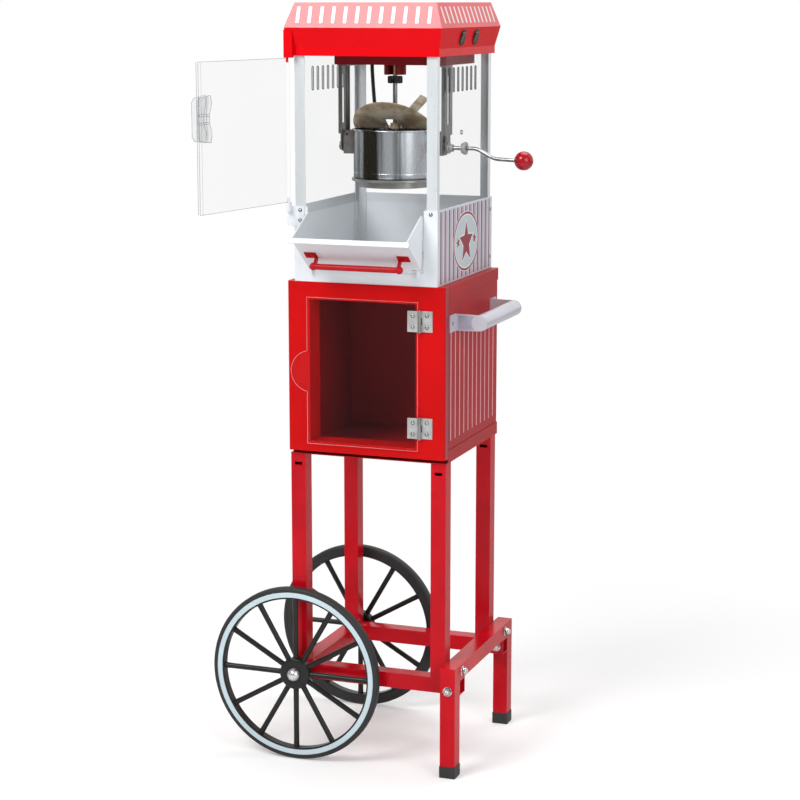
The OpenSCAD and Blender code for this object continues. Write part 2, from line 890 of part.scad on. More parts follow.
module flap_handle() {
    color("firebrick") leaned() {
        both_sides() {
            block([bar_half - 4, -flap_t / 2 - 2, bar_place],
                [bar_half + 15, -flap_t / 2, bar_place + bar_plate]);
            block([bar_half - 4, -bar_off, bar_place - 3], [bar_half, -flap_t / 2, bar_place + 3]);
            translate([bar_half, -bar_off, bar_place]) sphere(r = bar_r + 1.3);
            translate([bar_half + 9, -flap_t / 2 - 2, bar_place + bar_plate / 2])
                rod_y(-screw_h, 0, screw_r);
        }
        translate([0, -bar_off, bar_place]) rod_x(-bar_half, bar_half, bar_r);
    }
}

module flap_pin() {
    color("silver") translate([0, flap_axis_y, flap_axis_z])
        rod_x(-flap_w / 2 + 1, flap_w / 2 - 1, flap_pin_r);
}

// ---- Roof ----

module slab(half_x, half_y, z) {
    block([-half_x, -half_y, z], [half_x, half_y, z + eps]);
}

module roof_body(inset) {
    hull() {
        slab(top_x - inset, top_y - inset, total_h - inset - eps);
        slab(eave_x - inset, eave_y - inset, eave_z);
    }
    hull() {
        slab(eave_x - inset, eave_y - inset, eave_z);
        slab(band_x - inset, band_y - inset, slope_z);
    }
    block([-band_x + inset, -band_y + inset, deck_z - (inset > 0 ? 1 : 0)],
        [band_x - inset, band_y - inset, slope_z + eps]);
}

module on_slope(y) {
    translate([(eave_x + band_x) / 2, y, slope_z + slope_h / 2])
        rotate([0, switch_tilt, 0]) children();
}

module roof_shell() {
    color("firebrick") difference() {
        roof_body(0);
        roof_body(roof_t);
        for (y = switch_ys) on_slope(y) rod_x(-10, 10, switch_r + fit);
        translate([0, 0, gland_z]) rod_y(band_y - 5, band_y + 5, gland_r + fit);
    }
}

module roof_deck() {
    hole_y = drive_gap;
    color("gainsboro") difference() {
        block([-band_x + roof_t, -band_y + roof_t, deck_z], [band_x - roof_t, band_y - roof_t, deck_z + wall]);
        translate([0, hole_y, deck_z - 1]) cylinder(r = 5, h = wall + 2);
    }
}

module motor_housing() {
    color("darkred") difference() {
        union() {
            difference() {
                block([-housing_x, housing_front, housing_z], [housing_x, housing_back, deck_z]);
                block([-housing_x + wall, housing_front + wall, housing_z + wall],
                    [housing_x - wall, housing_back - wall, deck_z + 1]);
            }
            translate([0, 0, boss_z]) cylinder(r = boss_r, h = housing_z - boss_z + wall);
        }
        translate([0, 0, boss_z - 1]) cylinder(r = bush_r + fit / 2, h = 60);
        block([-bush_r - 1, -boss_r - 1, boss_z - 1], [bush_r + 1, 0, housing_z - 1]);
    }
}

module shaft_bush() {
    color("goldenrod") translate([0, 0, boss_z]) difference() {
        cylinder(r = bush_r, h = gear_z - gap - boss_z);
        translate([0, 0, -1]) cylinder(r = shaft_r + running, h = 60);
    }
}

// Outline of a spur gear with straight-sided teeth
function tooth_points(r, n, m, turn) = [
    for (i = [0 : n - 1]) for (k = [[-0.3, -1.2], [-0.12, 0.8], [0.12, 0.8], [0.3, -1.2]])
        let (a = (i + k[0]) * 360 / n + turn, rr = r + k[1] * m) [rr * cos(a), rr * sin(a)]];

module spur(r, n, m, turn, h) {
    linear_extrude(height = h) polygon(tooth_points(r, n, m, turn));
}

module stir_gear() {
    color("ivory") translate([0, 0, gear_z]) {
        spur(gear_r, gear_teeth, gear_m, 90, gear_t);
        cylinder(r = 6, h = gear_t + 2);
        translate([0, 0, -gear_z + knob_low + tang_h + 2])
            cylinder(r = shaft_r, h = gear_z - knob_low - tang_h - 2 + eps);
    }
}

module motor_pinion() {
    color("goldenrod") translate([0, drive_gap, gear_z - 0.5]) {
        spur(pinion_r, pinion_teeth, gear_m, -90 + 180 / pinion_teeth, gear_t + 1);
        cylinder(r = 2, h = deck_z - gear_z + 14);
    }
}

module stir_motor() {
    low = deck_z + wall;
    color("slategray") difference() {
        union() {
            translate([0, drive_gap, low]) cylinder(r = motor_r, h = 24);
            translate([0, drive_gap, low + 24 - eps]) cylinder(r = motor_r * 0.6, h = 8);
            block([-motor_r - 9, drive_gap - 6, low], [motor_r + 9, drive_gap + 6, low + 2]);
        }
        translate([0, drive_gap, low - 1]) cylinder(r = 2 + running, h = 15);
    }
}

module coupling_knob() {
    teeth = 20;
    slot_h = tang_h + 1;
    color("dimgray") difference() {
        union() {
            translate([0, 0, knob_low]) cylinder(r = knob_r - 0.8, h = knob_h);
            translate([0, 0, knob_low + 1]) linear_extrude(height = knob_h - 2)
                polygon([for (i = [0 : 2 * teeth - 1])
                    let (r = knob_r - (i % 2) * 1.2, a = i * 180 / teeth) [r * cos(a), r * sin(a)]]);
        }
        block([-tang_x / 2 - gap, -knob_r - 1, knob_low - 1],
            [tang_x / 2 + gap, knob_r + 1, knob_low + slot_h]);
        translate([0, 0, knob_low - 1]) cylinder(r = shaft_r + 0.02, h = knob_h + 2);
    }
}

module stir_rod() {
    base = pot_z + pot_floor + 1.5;
    color("silver") {
        translate([0, 0, base]) cylinder(r = rod_r, h = rod_top - base);
        intersection() {
            block([-tang_x / 2, -tang_y / 2, rod_top - 1], [tang_x / 2, tang_y / 2, knob_low + tang_h]);
            translate([0, 0, rod_top - 2]) cylinder(r = rod_r, h = 20);
        }
        translate([0, 0, base]) {
            block([-agitator_r, -4, 0], [agitator_r, 4, 2.5]);
            block([-4, -agitator_r * 0.6, 0], [4, agitator_r * 0.6, 2.5]);
            for (s = [-1, 1])
                block([s * agitator_r * 0.8 - 1.2, -4, 2], [s * agitator_r * 0.8 + 1.2, 4, 14]);
            cylinder(r = rod_r + 3, h = 8);
        }
    }
}

// ---- Kettle hangers ----

module hanger() {
    low = tilt_z - 10;
    difference() {
        union() {
            block([hanger_x, -hanger_half, tilt_z + 20], [hanger_x + hanger_t, hanger_half, housing_z]);
            block([hanger_x, -tongue_half, tilt_z], [hanger_x + hanger_t, tongue_half, tilt_z + 21]);
            translate([0, 0, tilt_z]) rod_x(hanger_x, hanger_x + hanger_t, tongue_half);
            block([hanger_x - 12, -hanger_half, housing_z - hanger_t],
                [hanger_x + eps, hanger_half, housing_z]);
            for (s = [-1, 1])
                translate([0, s * (hanger_half - 1), 0])
                    block([hanger_x - 4, -1, tilt_z + 20], [hanger_x + eps, 1, housing_z - 1]);
        }
        block([hanger_x - 1, -hanger_slot / 2, tilt_z + 37],
            [hanger_x + hanger_t + 1, hanger_slot / 2, housing_z - 16]);
    }
}

module hanger_left() {
    color("silver") mirror([1, 0, 0]) difference() {
        hanger();
        translate([0, 0, tilt_z]) rod_x(hanger_x - 1, hanger_x + hanger_t + 1, pivot_r + running);
    }
}

module hanger_right() {
    color("silver") difference() {
        hanger();
        translate([0, 0, tilt_z]) rod_x(hanger_x - 1, hanger_x + hanger_t + 1, crank_bush_r);
    }
}

// Flanged bush in the right hanger and round grommet in the right window
module crank_bushes() {
    color("silver") translate([0, 0, tilt_z]) {
        difference() {
            union() {
                rod_x(hanger_x - 2, hanger_x + hanger_t + 8, crank_bush_r - fit / 4);
                rod_x(hanger_x + hanger_t, hanger_x + hanger_t + 2, crank_bush_r + 3);
            }
            rod_x(0, case_x, crank_r + running);
        }
        difference() {
            union() {
                rod_x(window_x - window_t - 2, window_x, crank_bush_r + 2 - fit / 2);
                rod_x(window_x, post_x + 3, grommet_r);
            }
            rod_x(0, case_x * 2, crank_r + running);
        }
    }
}

// ---- Kettle ----

module kettle_pot() {
    color("silver") difference() {
        union() {
            translate([0, 0, pot_z]) cylinder(r = pot_r, h = pot_h, $fn = 96);
            translate([0, 0, rim_z - 2.5]) cylinder(r = pot_r + rim_w, h = 2.5, $fn = 96);
        }
        translate([0, 0, pot_z + pot_floor]) cylinder(r = pot_r - pot_wall, h = pot_h, $fn = 96);
    }
}

module kettle_heater() {
    color("darkgray") difference() {
        union() {
            translate([0, 0, pot_z - 4]) cylinder(r = pot_r + 3, h = 4, $fn = 96);
            translate([0, 0, pot_z - 14]) cylinder(r = pot_r - 9, h = 11, $fn = 96);
            block([-34, pot_r - 22, pot_z - 13], [-14, pot_r + 4, pot_z - 1]);
        }
        translate([0, 0, pot_z - 12]) cylinder(r = pot_r - 11, h = 10, $fn = 96);
    }
}

module kettle_pivots() {
    low = tilt_z - 12;
    high = rim_z - 4;
    color("gray") difference() {
        both_sides() difference() {
            block([pot_r - 10, -12, low], [bracket_out, 12, high]);
            translate([0, 0, low - 1]) cylinder(r = pot_r + pot_gap, h = high - low + 2, $fn = 96);
            block([pot_r + 6, -9, tilt_z + 9], [bracket_out + 1, 9, high + 1]);
        }
        translate([0, 0, tilt_z]) rod_x(0, case_x, crank_r + pot_gap / 2);
    }
    color("silver") translate([0, 0, tilt_z]) {
        rod_x(-hanger_x - hanger_t - gap, -bracket_out + eps, pivot_r);
        rod_x(-hanger_x - hanger_t - gap - 3, -hanger_x - hanger_t - gap + eps, pivot_r + 3);
    }
}

// Half disc on the side s of the hinge line, with the raised lip of a pressed lid
module half_lid(r, front) {
    intersection() {
        cylinder(r = r, h = lid_t, $fn = 96);
        block([-r - 1, front ? -r - 1 : 1, -1], [r + 1, front ? -2.5 : r + 1, lid_t + 1]);
    }
}

// Fixed rear cover with the rod bearing and the ears of the lid hinge
module kettle_lid_rear() {
    color("silver") {
        difference() {
            union() {
                translate([0, 0, rim_z]) half_lid(lid_r, false);
                translate([0, 0, rim_z]) cylinder(r = hub_ring_r, h = 9);
            }
            translate([0, 0, rim_z - 1]) cylinder(r = rod_r + running, h = 20);
        }
        both_sides() {
            for (x = lid_ears) {
                block([x, lid_axis_y - 1.5, lid_axis_z - 1.5], [x + lid_ear_t, 3, lid_axis_z + 1.5]);
                block([x, 1, rim_z], [x + lid_ear_t, 3, lid_axis_z]);
            }
            translate([0, lid_axis_y, lid_axis_z])
                rod_x(lid_ears[0], lid_ears[1] + lid_ear_t, lid_pin_r);
        }
    }
}

// Finger tab of the front cover, lying along x and turned up a little
module lid_tab() {
    root = lid_r + 1;
    tip = [root + tab_len * cos(tab_bend), tab_len * sin(tab_bend)];
    translate([0, tab_half, 0]) rotate([90, 0, 0]) linear_extrude(height = 2 * tab_half)
        polygon([[lid_r - 6, 0], [root, 0], tip,
            [tip[0] - lid_t * sin(tab_bend), tip[1] + lid_t * cos(tab_bend)],
            [root - lid_t * tan(tab_bend / 2), lid_t], [lid_r - 6, lid_t]]);
}

// Hinged front cover, drawn closed and raised about its hinge pins
module kettle_lid_front() {
    plate_z = rim_z + 0.5 - lid_axis_z;
    knuckle = [lid_ears[0] + 4, lid_ears[1] - 6];
    color("silver") translate([0, lid_axis_y, lid_axis_z]) rotate([-lid_open, 0, 0]) {
        difference() {
            union() {
                translate([0, -lid_axis_y, plate_z]) half_lid(lid_r, true);
                translate([0, -lid_axis_y, plate_z]) rotate([0, 0, -90 + tab_turn]) lid_tab();
            }
            block([-hub_ring_r - 1, -lid_slot, plate_z - 1], [hub_ring_r + 1, 5, plate_z + lid_t + 1]);
            for (x = lid_ears) for (s = [-1, 1]) translate([s * (x + lid_ear_t / 2), 0, 0])
                block([-lid_ear_t / 2 - gap, -6, plate_z - 1],
                    [lid_ear_t / 2 + gap, 1, plate_z + lid_t + 1]);
        }
        both_sides() difference() {
            union() {
                rod_x(knuckle[0], knuckle[1], lid_knuckle_r);
                block([knuckle[0], -3.5, plate_z], [knuckle[1], 0, 0]);
            }
            rod_x(knuckle[0] - 1, knuckle[1] + 1, lid_pin_r + running);
        }
    }
}

module crank_rod() {
    inner = bracket_out - 5;
    color("silver") {
        translate([0, 0, tilt_z]) rod_x(inner, crank_bend_x, crank_r);
        translate([crank_bend_x, 0, tilt_z]) sphere(r = bend_r);
        link([crank_bend_x, 0, tilt_z], crank_knee, crank_r);
        translate(crank_knee) sphere(r = bend_r);
        link(crank_knee, crank_end, crank_r);
    }
}

module crank_ball() {
    color("red") difference() {
        translate(crank_end + [7, 0, 0]) sphere(r = ball_r, $fn = 64);
        link(crank_knee, crank_end, crank_r + pot_gap / 2);
    }
}

// Route of the kettle's own lead, from the housing to the socket on the heater
lead_route = [[-58, 50, housing_z], [-58, 50, housing_z - 10], [-58, 56, tilt_z + 85],
    [-57, 62, tilt_z + 50], [-55, 68, tilt_z + 20], [-52, 74, tilt_z - 10], [-46, 79, tilt_z - 34],
    [-36, 82, tilt_z - 50], [-28, 80, tilt_z - 56], [-24, 75, tilt_z - 56.5],
    [-24, pot_r + 4, tilt_z - 56.5]];

function unit(v) = v / norm(v);
function heading(i) = unit(lead_route[min(i + 1, len(lead_route) - 1)] - lead_route[max(i - 1, 0)]);
function ring_point(i, k, sides) =
    let (t = heading(i), u = unit(cross(t, [1, 0, 0.2])), v = cross(t, u), a = 360 * k / sides)
    lead_route[i] + lead_r * (cos(a) * u + sin(a) * v);

module kettle_lead() {
    sides = 8;
    rings = len(lead_route);
    color("black") polyhedron(
        points = [for (i = [0 : rings - 1]) for (k = [0 : sides - 1]) ring_point(i, k, sides)],
        faces = concat(
            [[for (k = [0 : sides - 1]) k]],
            [for (i = [0 : rings - 2]) for (k = [0 : sides - 1])
                [i * sides + k, (i + 1) * sides + k,
                    (i + 1) * sides + (k + 1) % sides, i * sides + (k + 1) % sides]],
            [[for (k = [sides - 1 : -1 : 0]) (rings - 1) * sides + k]]));
}

// ---- Switches ----

module switch_bodies() {
    color("black") for (y = switch_ys) on_slope(y) difference() {
        union() {
            rod_x(-16, 0, switch_r);
            rod_x(0, 1.5, switch_r + 1.5);
        }
        rod_x(-6, 3, rocker_hole_r);
        rod_y(-switch_r - 1, switch_r + 1, 1.5 + running);
    }
}

// Round rocker tipped to one side on its cross pin
module rocker(y) {
    color("saddlebrown") on_slope(y) rotate([0, rocker_lean, 0]) {
        rod_x(-rocker_t / 2, rocker_t / 2, rocker_r);
        rod_y(-switch_r, switch_r, 1.5);
    }
}

module rocker_front() {
    rocker(switch_ys[0]);
}

module rocker_back() {
    rocker(switch_ys[1]);
}

module cord_gland() {
    color("black") translate([0, 0, gland_z]) difference() {
        union() {
            rod_y(band_y - roof_t - 3, band_y + 10, gland_r);
            rod_y(band_y, band_y + 2, gland_r + 1);
        }
        rod_y(band_y, band_y + 11, gland_r - 2);
    }
}

legs();
rails();
feet();
foot_caps();
frame_bolts();
axle();
wheel_front();
tyre_front();
wheel_back();
tyre_back();
cabinet_tray();
cabinet_sides();
cabinet_back();
cabinet_front();
cabinet_top();
cabinet_door();
hinge_fixed_leaves();
hinge_door_leaves();
hinge_door_screws();
handle_brackets();
handle_grip();
case_screws();
base_housing();
side_panels();
popcorn_deck();
corner_posts();
window_left();
window_right();
window_back();
popper_door();
door_latch();
door_hinge_upper();
door_hinge_lower();
flap();
flap_handle();
flap_pin();
roof_shell();
roof_deck();
motor_housing();
stir_motor();
motor_pinion();
stir_gear();
shaft_bush();
coupling_knob();
stir_rod();
hanger_left();
hanger_right();
crank_bushes();
kettle_pot();
kettle_heater();
kettle_pivots();
kettle_lid_rear();
kettle_lid_front();
crank_rod();
crank_ball();
kettle_lead();
switch_bodies();
rocker_front();
rocker_back();
cord_gland();
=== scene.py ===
import math

import bpy
import bmesh
from mathutils import Matrix, Vector


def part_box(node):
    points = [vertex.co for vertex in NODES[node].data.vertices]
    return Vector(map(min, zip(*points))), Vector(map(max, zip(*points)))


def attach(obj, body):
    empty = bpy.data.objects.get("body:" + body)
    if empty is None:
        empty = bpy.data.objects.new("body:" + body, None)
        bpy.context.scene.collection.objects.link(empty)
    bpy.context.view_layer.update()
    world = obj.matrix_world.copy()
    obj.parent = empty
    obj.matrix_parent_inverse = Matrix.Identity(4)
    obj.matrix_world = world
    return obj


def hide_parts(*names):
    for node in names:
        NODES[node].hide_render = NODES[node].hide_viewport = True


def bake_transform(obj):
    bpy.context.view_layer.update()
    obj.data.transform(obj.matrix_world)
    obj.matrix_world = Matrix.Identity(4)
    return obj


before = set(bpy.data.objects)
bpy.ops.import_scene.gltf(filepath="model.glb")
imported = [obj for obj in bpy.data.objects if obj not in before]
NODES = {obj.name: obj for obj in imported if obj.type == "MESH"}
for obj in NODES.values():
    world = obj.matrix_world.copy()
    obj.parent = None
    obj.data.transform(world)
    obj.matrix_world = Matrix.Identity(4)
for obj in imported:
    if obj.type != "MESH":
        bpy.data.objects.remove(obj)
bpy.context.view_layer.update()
MM = 0.001
X, Y = Vector((1, 0, 0)), Vector((0, 1, 0))

# ---------------------------------------------------------------- camera
cam_data = bpy.data.cameras.new("camera")
cam_data.lens = 95.52
cam_data.sensor_width = 36
cam = bpy.data.objects.new("camera", cam_data)
cam.location = (1.18213, -3.20366, 1.22249)
cam.rotation_euler = [math.radians(a) for a in (79.331, 0, 20.124)]
bpy.context.scene.collection.objects.link(cam)
bpy.context.scene.camera = cam
bpy.context.scene.view_settings.view_transform = "Standard"


# ---------------------------------------------------------------- materials
class Nodes:
    """Small helper that wires one node tree."""

    def __init__(self, tree):
        self.tree = tree
        self.tree.nodes.clear()

    def add(self, kind, **inputs):
        node = self.tree.nodes.new(kind)
        for key, value in inputs.items():
            key = key.replace("_", " ")
            if isinstance(value, bpy.types.NodeSocket):
                self.tree.links.new(value, node.inputs[key])
            else:
                node.inputs[key].default_value = value
        return node

    def link(self, a, b):
        self.tree.links.new(a, b)

    def ranged(self, value, low, high, start=0.0, end=1.0):
        node = self.tree.nodes.new("ShaderNodeMapRange")
        self.link(value, node.inputs["Value"])
        for key, v in (("From Min", start), ("From Max", end), ("To Min", low), ("To Max", high)):
            node.inputs[key].default_value = v
        return node.outputs["Result"]

    def noise(self, coords, scale, detail=4.0, rough=0.55, stretch=(1, 1, 1)):
        mapping = self.tree.nodes.new("ShaderNodeMapping")
        mapping.inputs["Scale"].default_value = stretch
        self.link(coords, mapping.inputs["Vector"])
        node = self.tree.nodes.new("ShaderNodeTexNoise")
        node.inputs["Scale"].default_value = scale
        node.inputs["Detail"].default_value = detail
        node.inputs["Roughness"].default_value = rough
        self.link(mapping.outputs["Vector"], node.inputs["Vector"])
        return node.outputs["Fac"]

    def blend_colours(self, factor, a, b):
        node = self.tree.nodes.new("ShaderNodeMix")
        node.data_type = "RGBA"
        self.link(factor, node.inputs["Factor"])
        node.inputs["A"].default_value = (*a, 1)
        node.inputs["B"].default_value = (*b, 1)
        return node.outputs["Result"]

    def math(self, kind, a, b):
        node = self.tree.nodes.new("ShaderNodeMath")
        node.operation = kind
        for socket, value in zip(node.inputs, (a, b)):
            if isinstance(value, bpy.types.NodeSocket):
                self.link(value, socket)
            else:
                socket.default_value = value
        return node.outputs[0]

    def mixed(self, factor, a, b):
        node = self.tree.nodes.new("ShaderNodeMixShader")
        for socket, value in zip(node.inputs, (factor, a, b)):
            self.link(value, socket)
        return node.outputs[0]


def surface(name, colour, rough, metal=0.0, tint=0.05, tint_scale=7.0, grain=0.02, grain_scale=1100.0,
            grain_stretch=(1, 1, 1), rough_spread=0.03, coat=0.0, coat_rough=0.06, specular=0.5,
            aniso=0.0, second=None, stretch=(1, 1, 1), alpha=None, spread=(0.35, 0.65)):
    """Procedural finish: slow colour drift, fine grain in the relief and uneven gloss."""
    material = bpy.data.materials.new(name)
    material.use_nodes = True
    n = Nodes(material.node_tree)
    out = n.add("ShaderNodeOutputMaterial")
    coords = n.add("ShaderNodeTexCoord").outputs["Object"]
    shader = n.add("ShaderNodeBsdfPrincipled", Metallic=metal)
    drift = n.noise(coords, tint_scale, stretch=stretch)
    dark = second or tuple(c * (1 - tint) for c in colour)
    light = tuple(min(1.0, c * (1 + tint)) for c in colour)
    n.link(n.blend_colours(n.ranged(drift, 0, 1, *spread), dark, light), shader.inputs["Base Color"])
    fine = n.noise(coords, grain_scale, detail=3.0, stretch=grain_stretch)
    n.link(n.ranged(fine, max(0.02, rough - rough_spread), rough + rough_spread, 0.3, 0.7),
           shader.inputs["Roughness"])
    bump = n.add("ShaderNodeBump", Strength=grain, Distance=0.0002, Height=fine)
    n.link(bump.outputs["Normal"], shader.inputs["Normal"])
    for key, value in (("Coat Weight", coat), ("Coat Roughness", coat_rough),
                       ("Specular IOR Level", specular), ("Anisotropic", aniso)):
        shader.inputs[key].default_value = value
    if alpha:
        facing = n.add("ShaderNodeLayerWeight", Blend=0.35).outputs["Facing"]
        n.link(n.ranged(facing, alpha[0], alpha[1]), shader.inputs["Alpha"])
    n.link(shader.outputs["BSDF"], out.inputs["Surface"])
    return material


M = {
    "red_frame": surface("red_frame", (0.52, 0.0030, 0.0110), 0.20, specular=0.17, tint=0.12, tint_scale=11),
    "red_cabinet": surface("red_cabinet", (0.56, 0.0035, 0.0045), 0.36, specular=0.10, tint=0.10,
                           tint_scale=5),
    # the cabinet's red made darker and pinker: painted shade and painted reflection, for its sides, back,
    # tray, cap and rivets
    "red_cabinet_shaded": surface("red_cabinet_shaded", (0.40, 0.012, 0.016), 0.40, specular=0.20, tint=0.08),
    # darker, pinker copy of the front pan's red: painted shade and painted reflection on its side returns
    "red_return_shaded": surface("red_return_shaded", (0.36, 0.014, 0.026), 0.36, specular=0.4),
    "red_roof": surface("red_roof", (0.70, 0.0020, 0.0060), 0.28, specular=0.08, tint=0.04),
    # pinker than the roof's red: a painted reflection of the white above, besides its glossier coat
    "fascia_red_sheen": surface("fascia_red_sheen", (0.72, 0.022, 0.032), 0.34, coat=0.35, coat_rough=0.30, specular=0.5,
                          tint=0.10),
    "dark_red": surface("dark_red", (0.22, 0.003, 0.008), 0.42, specular=0.2),
    "white_case": surface("white_case", (0.76, 0.80, 0.84), 0.34, coat=0.1, tint=0.02),
    "panel_print": surface("panel_print", (0.63, 0.64, 0.68), 0.42, tint=0.04),
    "white_post": surface("white_post", (0.74, 0.78, 0.80), 0.30, metal=0.30, tint=0.06, tint_scale=16,
                          stretch=(1, 1, 0.15), grain_stretch=(1, 1, 0.05)),
    "grey_sheet": surface("grey_sheet", (0.60, 0.60, 0.60), 0.42, metal=0.2, grain=0.04),
    "clear": surface("clear", (0.20, 0.22, 0.23), 0.03, grain=0.003, tint=0.05, rough_spread=0.015,
                     alpha=(0.008, 0.11)),
    "clear_latch": surface("clear_latch", (0.40, 0.42, 0.44), 0.06, tint=0.05, alpha=(0.02, 0.35)),
    # grey lines: painted shade along the edges of clear pieces
    "clear_edge_shade": surface("clear_edge_shade", (0.26, 0.29, 0.31), 0.12, tint=0.06, alpha=(0.60, 0.85)),
    "edge_glint": surface("edge_glint", (0.86, 0.50, 0.50), 0.15, tint=0.08, alpha=(0.55, 0.80)),
    "zinc": surface("zinc", (0.80, 0.81, 0.82), 0.30, metal=1.0, grain=0.04, rough_spread=0.08),
    "dark_chrome": surface("dark_chrome", (0.30, 0.30, 0.30), 0.22, metal=1.0, grain=0.03, tint=0.2,
                           tint_scale=50),
    "chrome": surface("chrome", (0.60, 0.60, 0.59), 0.13, metal=1.0, grain=0.03, tint=0.15, tint_scale=40),
    "leaf_grey": surface("leaf_grey", (0.47, 0.48, 0.48), 0.40, metal=0.35, grain=0.06,
                         rough_spread=0.08, tint=0.16, tint_scale=60),
    "white_handle": surface("white_handle", (0.60, 0.585, 0.65), 0.34, metal=0.35, coat=0.15, tint=0.06),
    "wheel_black": surface("wheel_black", (0.0125, 0.0130, 0.0120), 0.30, specular=0.32, tint=0.3),
    "tyre": surface("tyre", (0.020, 0.020, 0.021), 0.62, grain=0.12, grain_scale=700, tint=0.25),
    "whitewall": surface("whitewall", (0.56, 0.68, 0.73), 0.55, grain=0.05, tint=0.05),
    "rubber": surface("rubber", (0.024, 0.024, 0.024), 0.6, grain=0.1, grain_scale=700, tint=0.25),
    # the kettle's dark vertical streaks in colour are painted reflections, over the brushing in its grain
    "kettle_steel": surface("kettle_steel", (0.46, 0.49, 0.52), 0.26, metal=0.8, grain=0.05, aniso=0.4,
                            grain_stretch=(1, 1, 0.03), second=(0.035, 0.030, 0.022), tint=0.25,
                            tint_scale=26, stretch=(1, 1, 0.02), spread=(0.44, 0.56)),
    "kettle_rim": surface("kettle_rim", (0.80, 0.79, 0.76), 0.25, metal=0.8, tint=0.1),
    "lid_steel": surface("lid_steel", (0.74, 0.66, 0.52), 0.38, metal=0.25, grain=0.05, rough_spread=0.08,
                         second=(0.40, 0.30, 0.19), tint_scale=34, spread=(0.38, 0.62)),
    "heater_steel": surface("heater_steel", (0.36, 0.36, 0.35), 0.36, metal=0.85, grain=0.05, tint=0.15,
                            tint_scale=30),
    # near black lines: painted shade at the cut walls of the vent slots in the clear panes
    "slot_shade_line": surface("slot_shade_line", (0.055, 0.060, 0.062), 0.20, tint=0.2, alpha=(0.70, 0.92)),
    # a darker copy of the handle's finish: painted shade for the pressed-in faces of its brackets
    "lilac_painted_shade": surface("lilac_painted_shade", (0.40, 0.385, 0.48), 0.40, metal=0.25, tint=0.12, tint_scale=50),
    "hanger_steel": surface("hanger_steel", (0.24, 0.24, 0.235), 0.34, metal=0.85, grain=0.05, tint=0.3,
                            tint_scale=34, stretch=(1, 1, 0.1)),
    "bracket_steel": surface("bracket_steel", (0.20, 0.19, 0.18), 0.38, metal=0.7, grain=0.05, tint=0.25,
                             tint_scale=60),
    "bush_white": surface("bush_white", (0.30, 0.30, 0.29), 0.38, grain=0.04, tint=0.1),
    "brass": surface("brass", (0.62, 0.43, 0.16), 0.25, metal=1.0, grain=0.04),
    "knob_black": surface("knob_black", (0.022, 0.022, 0.024), 0.45, grain=0.08, tint=0.2),
    "gear_nylon": surface("gear_nylon", (0.74, 0.72, 0.64), 0.5, grain=0.04),
    "motor_steel": surface("motor_steel", (0.50, 0.51, 0.53), 0.3, metal=1.0, grain=0.05),
    "ball_red": surface("ball_red", (0.36, 0.004, 0.013), 0.14, specular=0.40, tint=0.10, tint_scale=30),
    "handle_red": surface("handle_red", (0.46, 0.004, 0.011), 0.24, specular=0.22, tint=0.08, tint_scale=40),
    "lead_black": surface("lead_black", (0.022, 0.022, 0.022), 0.5, grain=0.06),
    "switch_black": surface("switch_black", (0.024, 0.012, 0.012), 0.3),
    "rocker_amber": surface("rocker_amber", (0.055, 0.009, 0.006), 0.25, coat=0.15, tint=0.3, tint_scale=160),
    "print_white": surface("print_white", (0.84, 0.83, 0.84), 0.40, tint=0.02),
    "print_field": surface("print_field", (0.53, 0.60, 0.64), 0.42, tint=0.04),
    "print_lilac": surface("print_lilac", (0.50, 0.40, 0.50), 0.42, tint=0.08),
    "print_pink": surface("print_pink", (0.74, 0.36, 0.40), 0.42, tint=0.05),
    "print_red": surface("print_red", (0.26, 0.012, 0.026), 0.42, tint=0.12),
    "print_maroon": surface("print_maroon", (0.060, 0.004, 0.014), 0.42, tint=0.2),
    # near black: painted shade, for the rings under screw heads, the kettle brackets' holes and the line
    # behind the cabinet's front pan
    "painted_shade": surface("painted_shade", (0.030, 0.014, 0.015), 0.6, tint=0.2),
}


# ---------------------------------------------------------------- mesh helpers
def solid(name, bm, material):
    """Turns a bmesh in millimetres into an object with its finish."""
    bmesh.ops.scale(bm, vec=(MM, MM, MM), verts=bm.verts)
    bmesh.ops.recalc_face_normals(bm, faces=bm.faces)
    mesh = bpy.data.meshes.new(name)
    bm.to_mesh(mesh)
    bm.free()
    mesh.materials.append(M[material])
    obj = bpy.data.objects.new(name, mesh)
    bpy.context.scene.collection.objects.link(obj)
    return obj


def piece(name, bm, material, body, smooth=35, bevel=0.0, node=None):
    """A named piece that rides on its body, and stands for a CAD node where one is given."""
    obj = solid(name, bm, material)
    obj.data.shade_smooth()
    if not bevel:
        obj.data.set_sharp_from_angle(angle=math.radians(smooth))
    ease_edges(obj, bevel, smooth)
    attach(obj, body)
    if node:
        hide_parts(node)
    return obj


def ease_edges(obj, bevel, smooth):
    """Edges sharper than an angle are rounded by a bevel in millimetres, if it isn't 0."""
    if bevel:
        mod = obj.modifiers.new("edges", "BEVEL")
        mod.width = bevel * MM
        mod.segments = 3
        mod.limit_method = "ANGLE"
        mod.angle_limit = math.radians(smooth)
        mod.harden_normals = True
    obj.modifiers.new("normals", "WEIGHTED_NORMAL").keep_sharp = True


def block(bm, low, high, matrix=None):
    low, high = Vector(low), Vector(high)
    m = Matrix.Translation((low + high) / 2) @ Matrix.Diagonal((*(high - low), 1))
    bmesh.ops.create_cube(bm, size=1, matrix=(matrix or Matrix()) @ m)


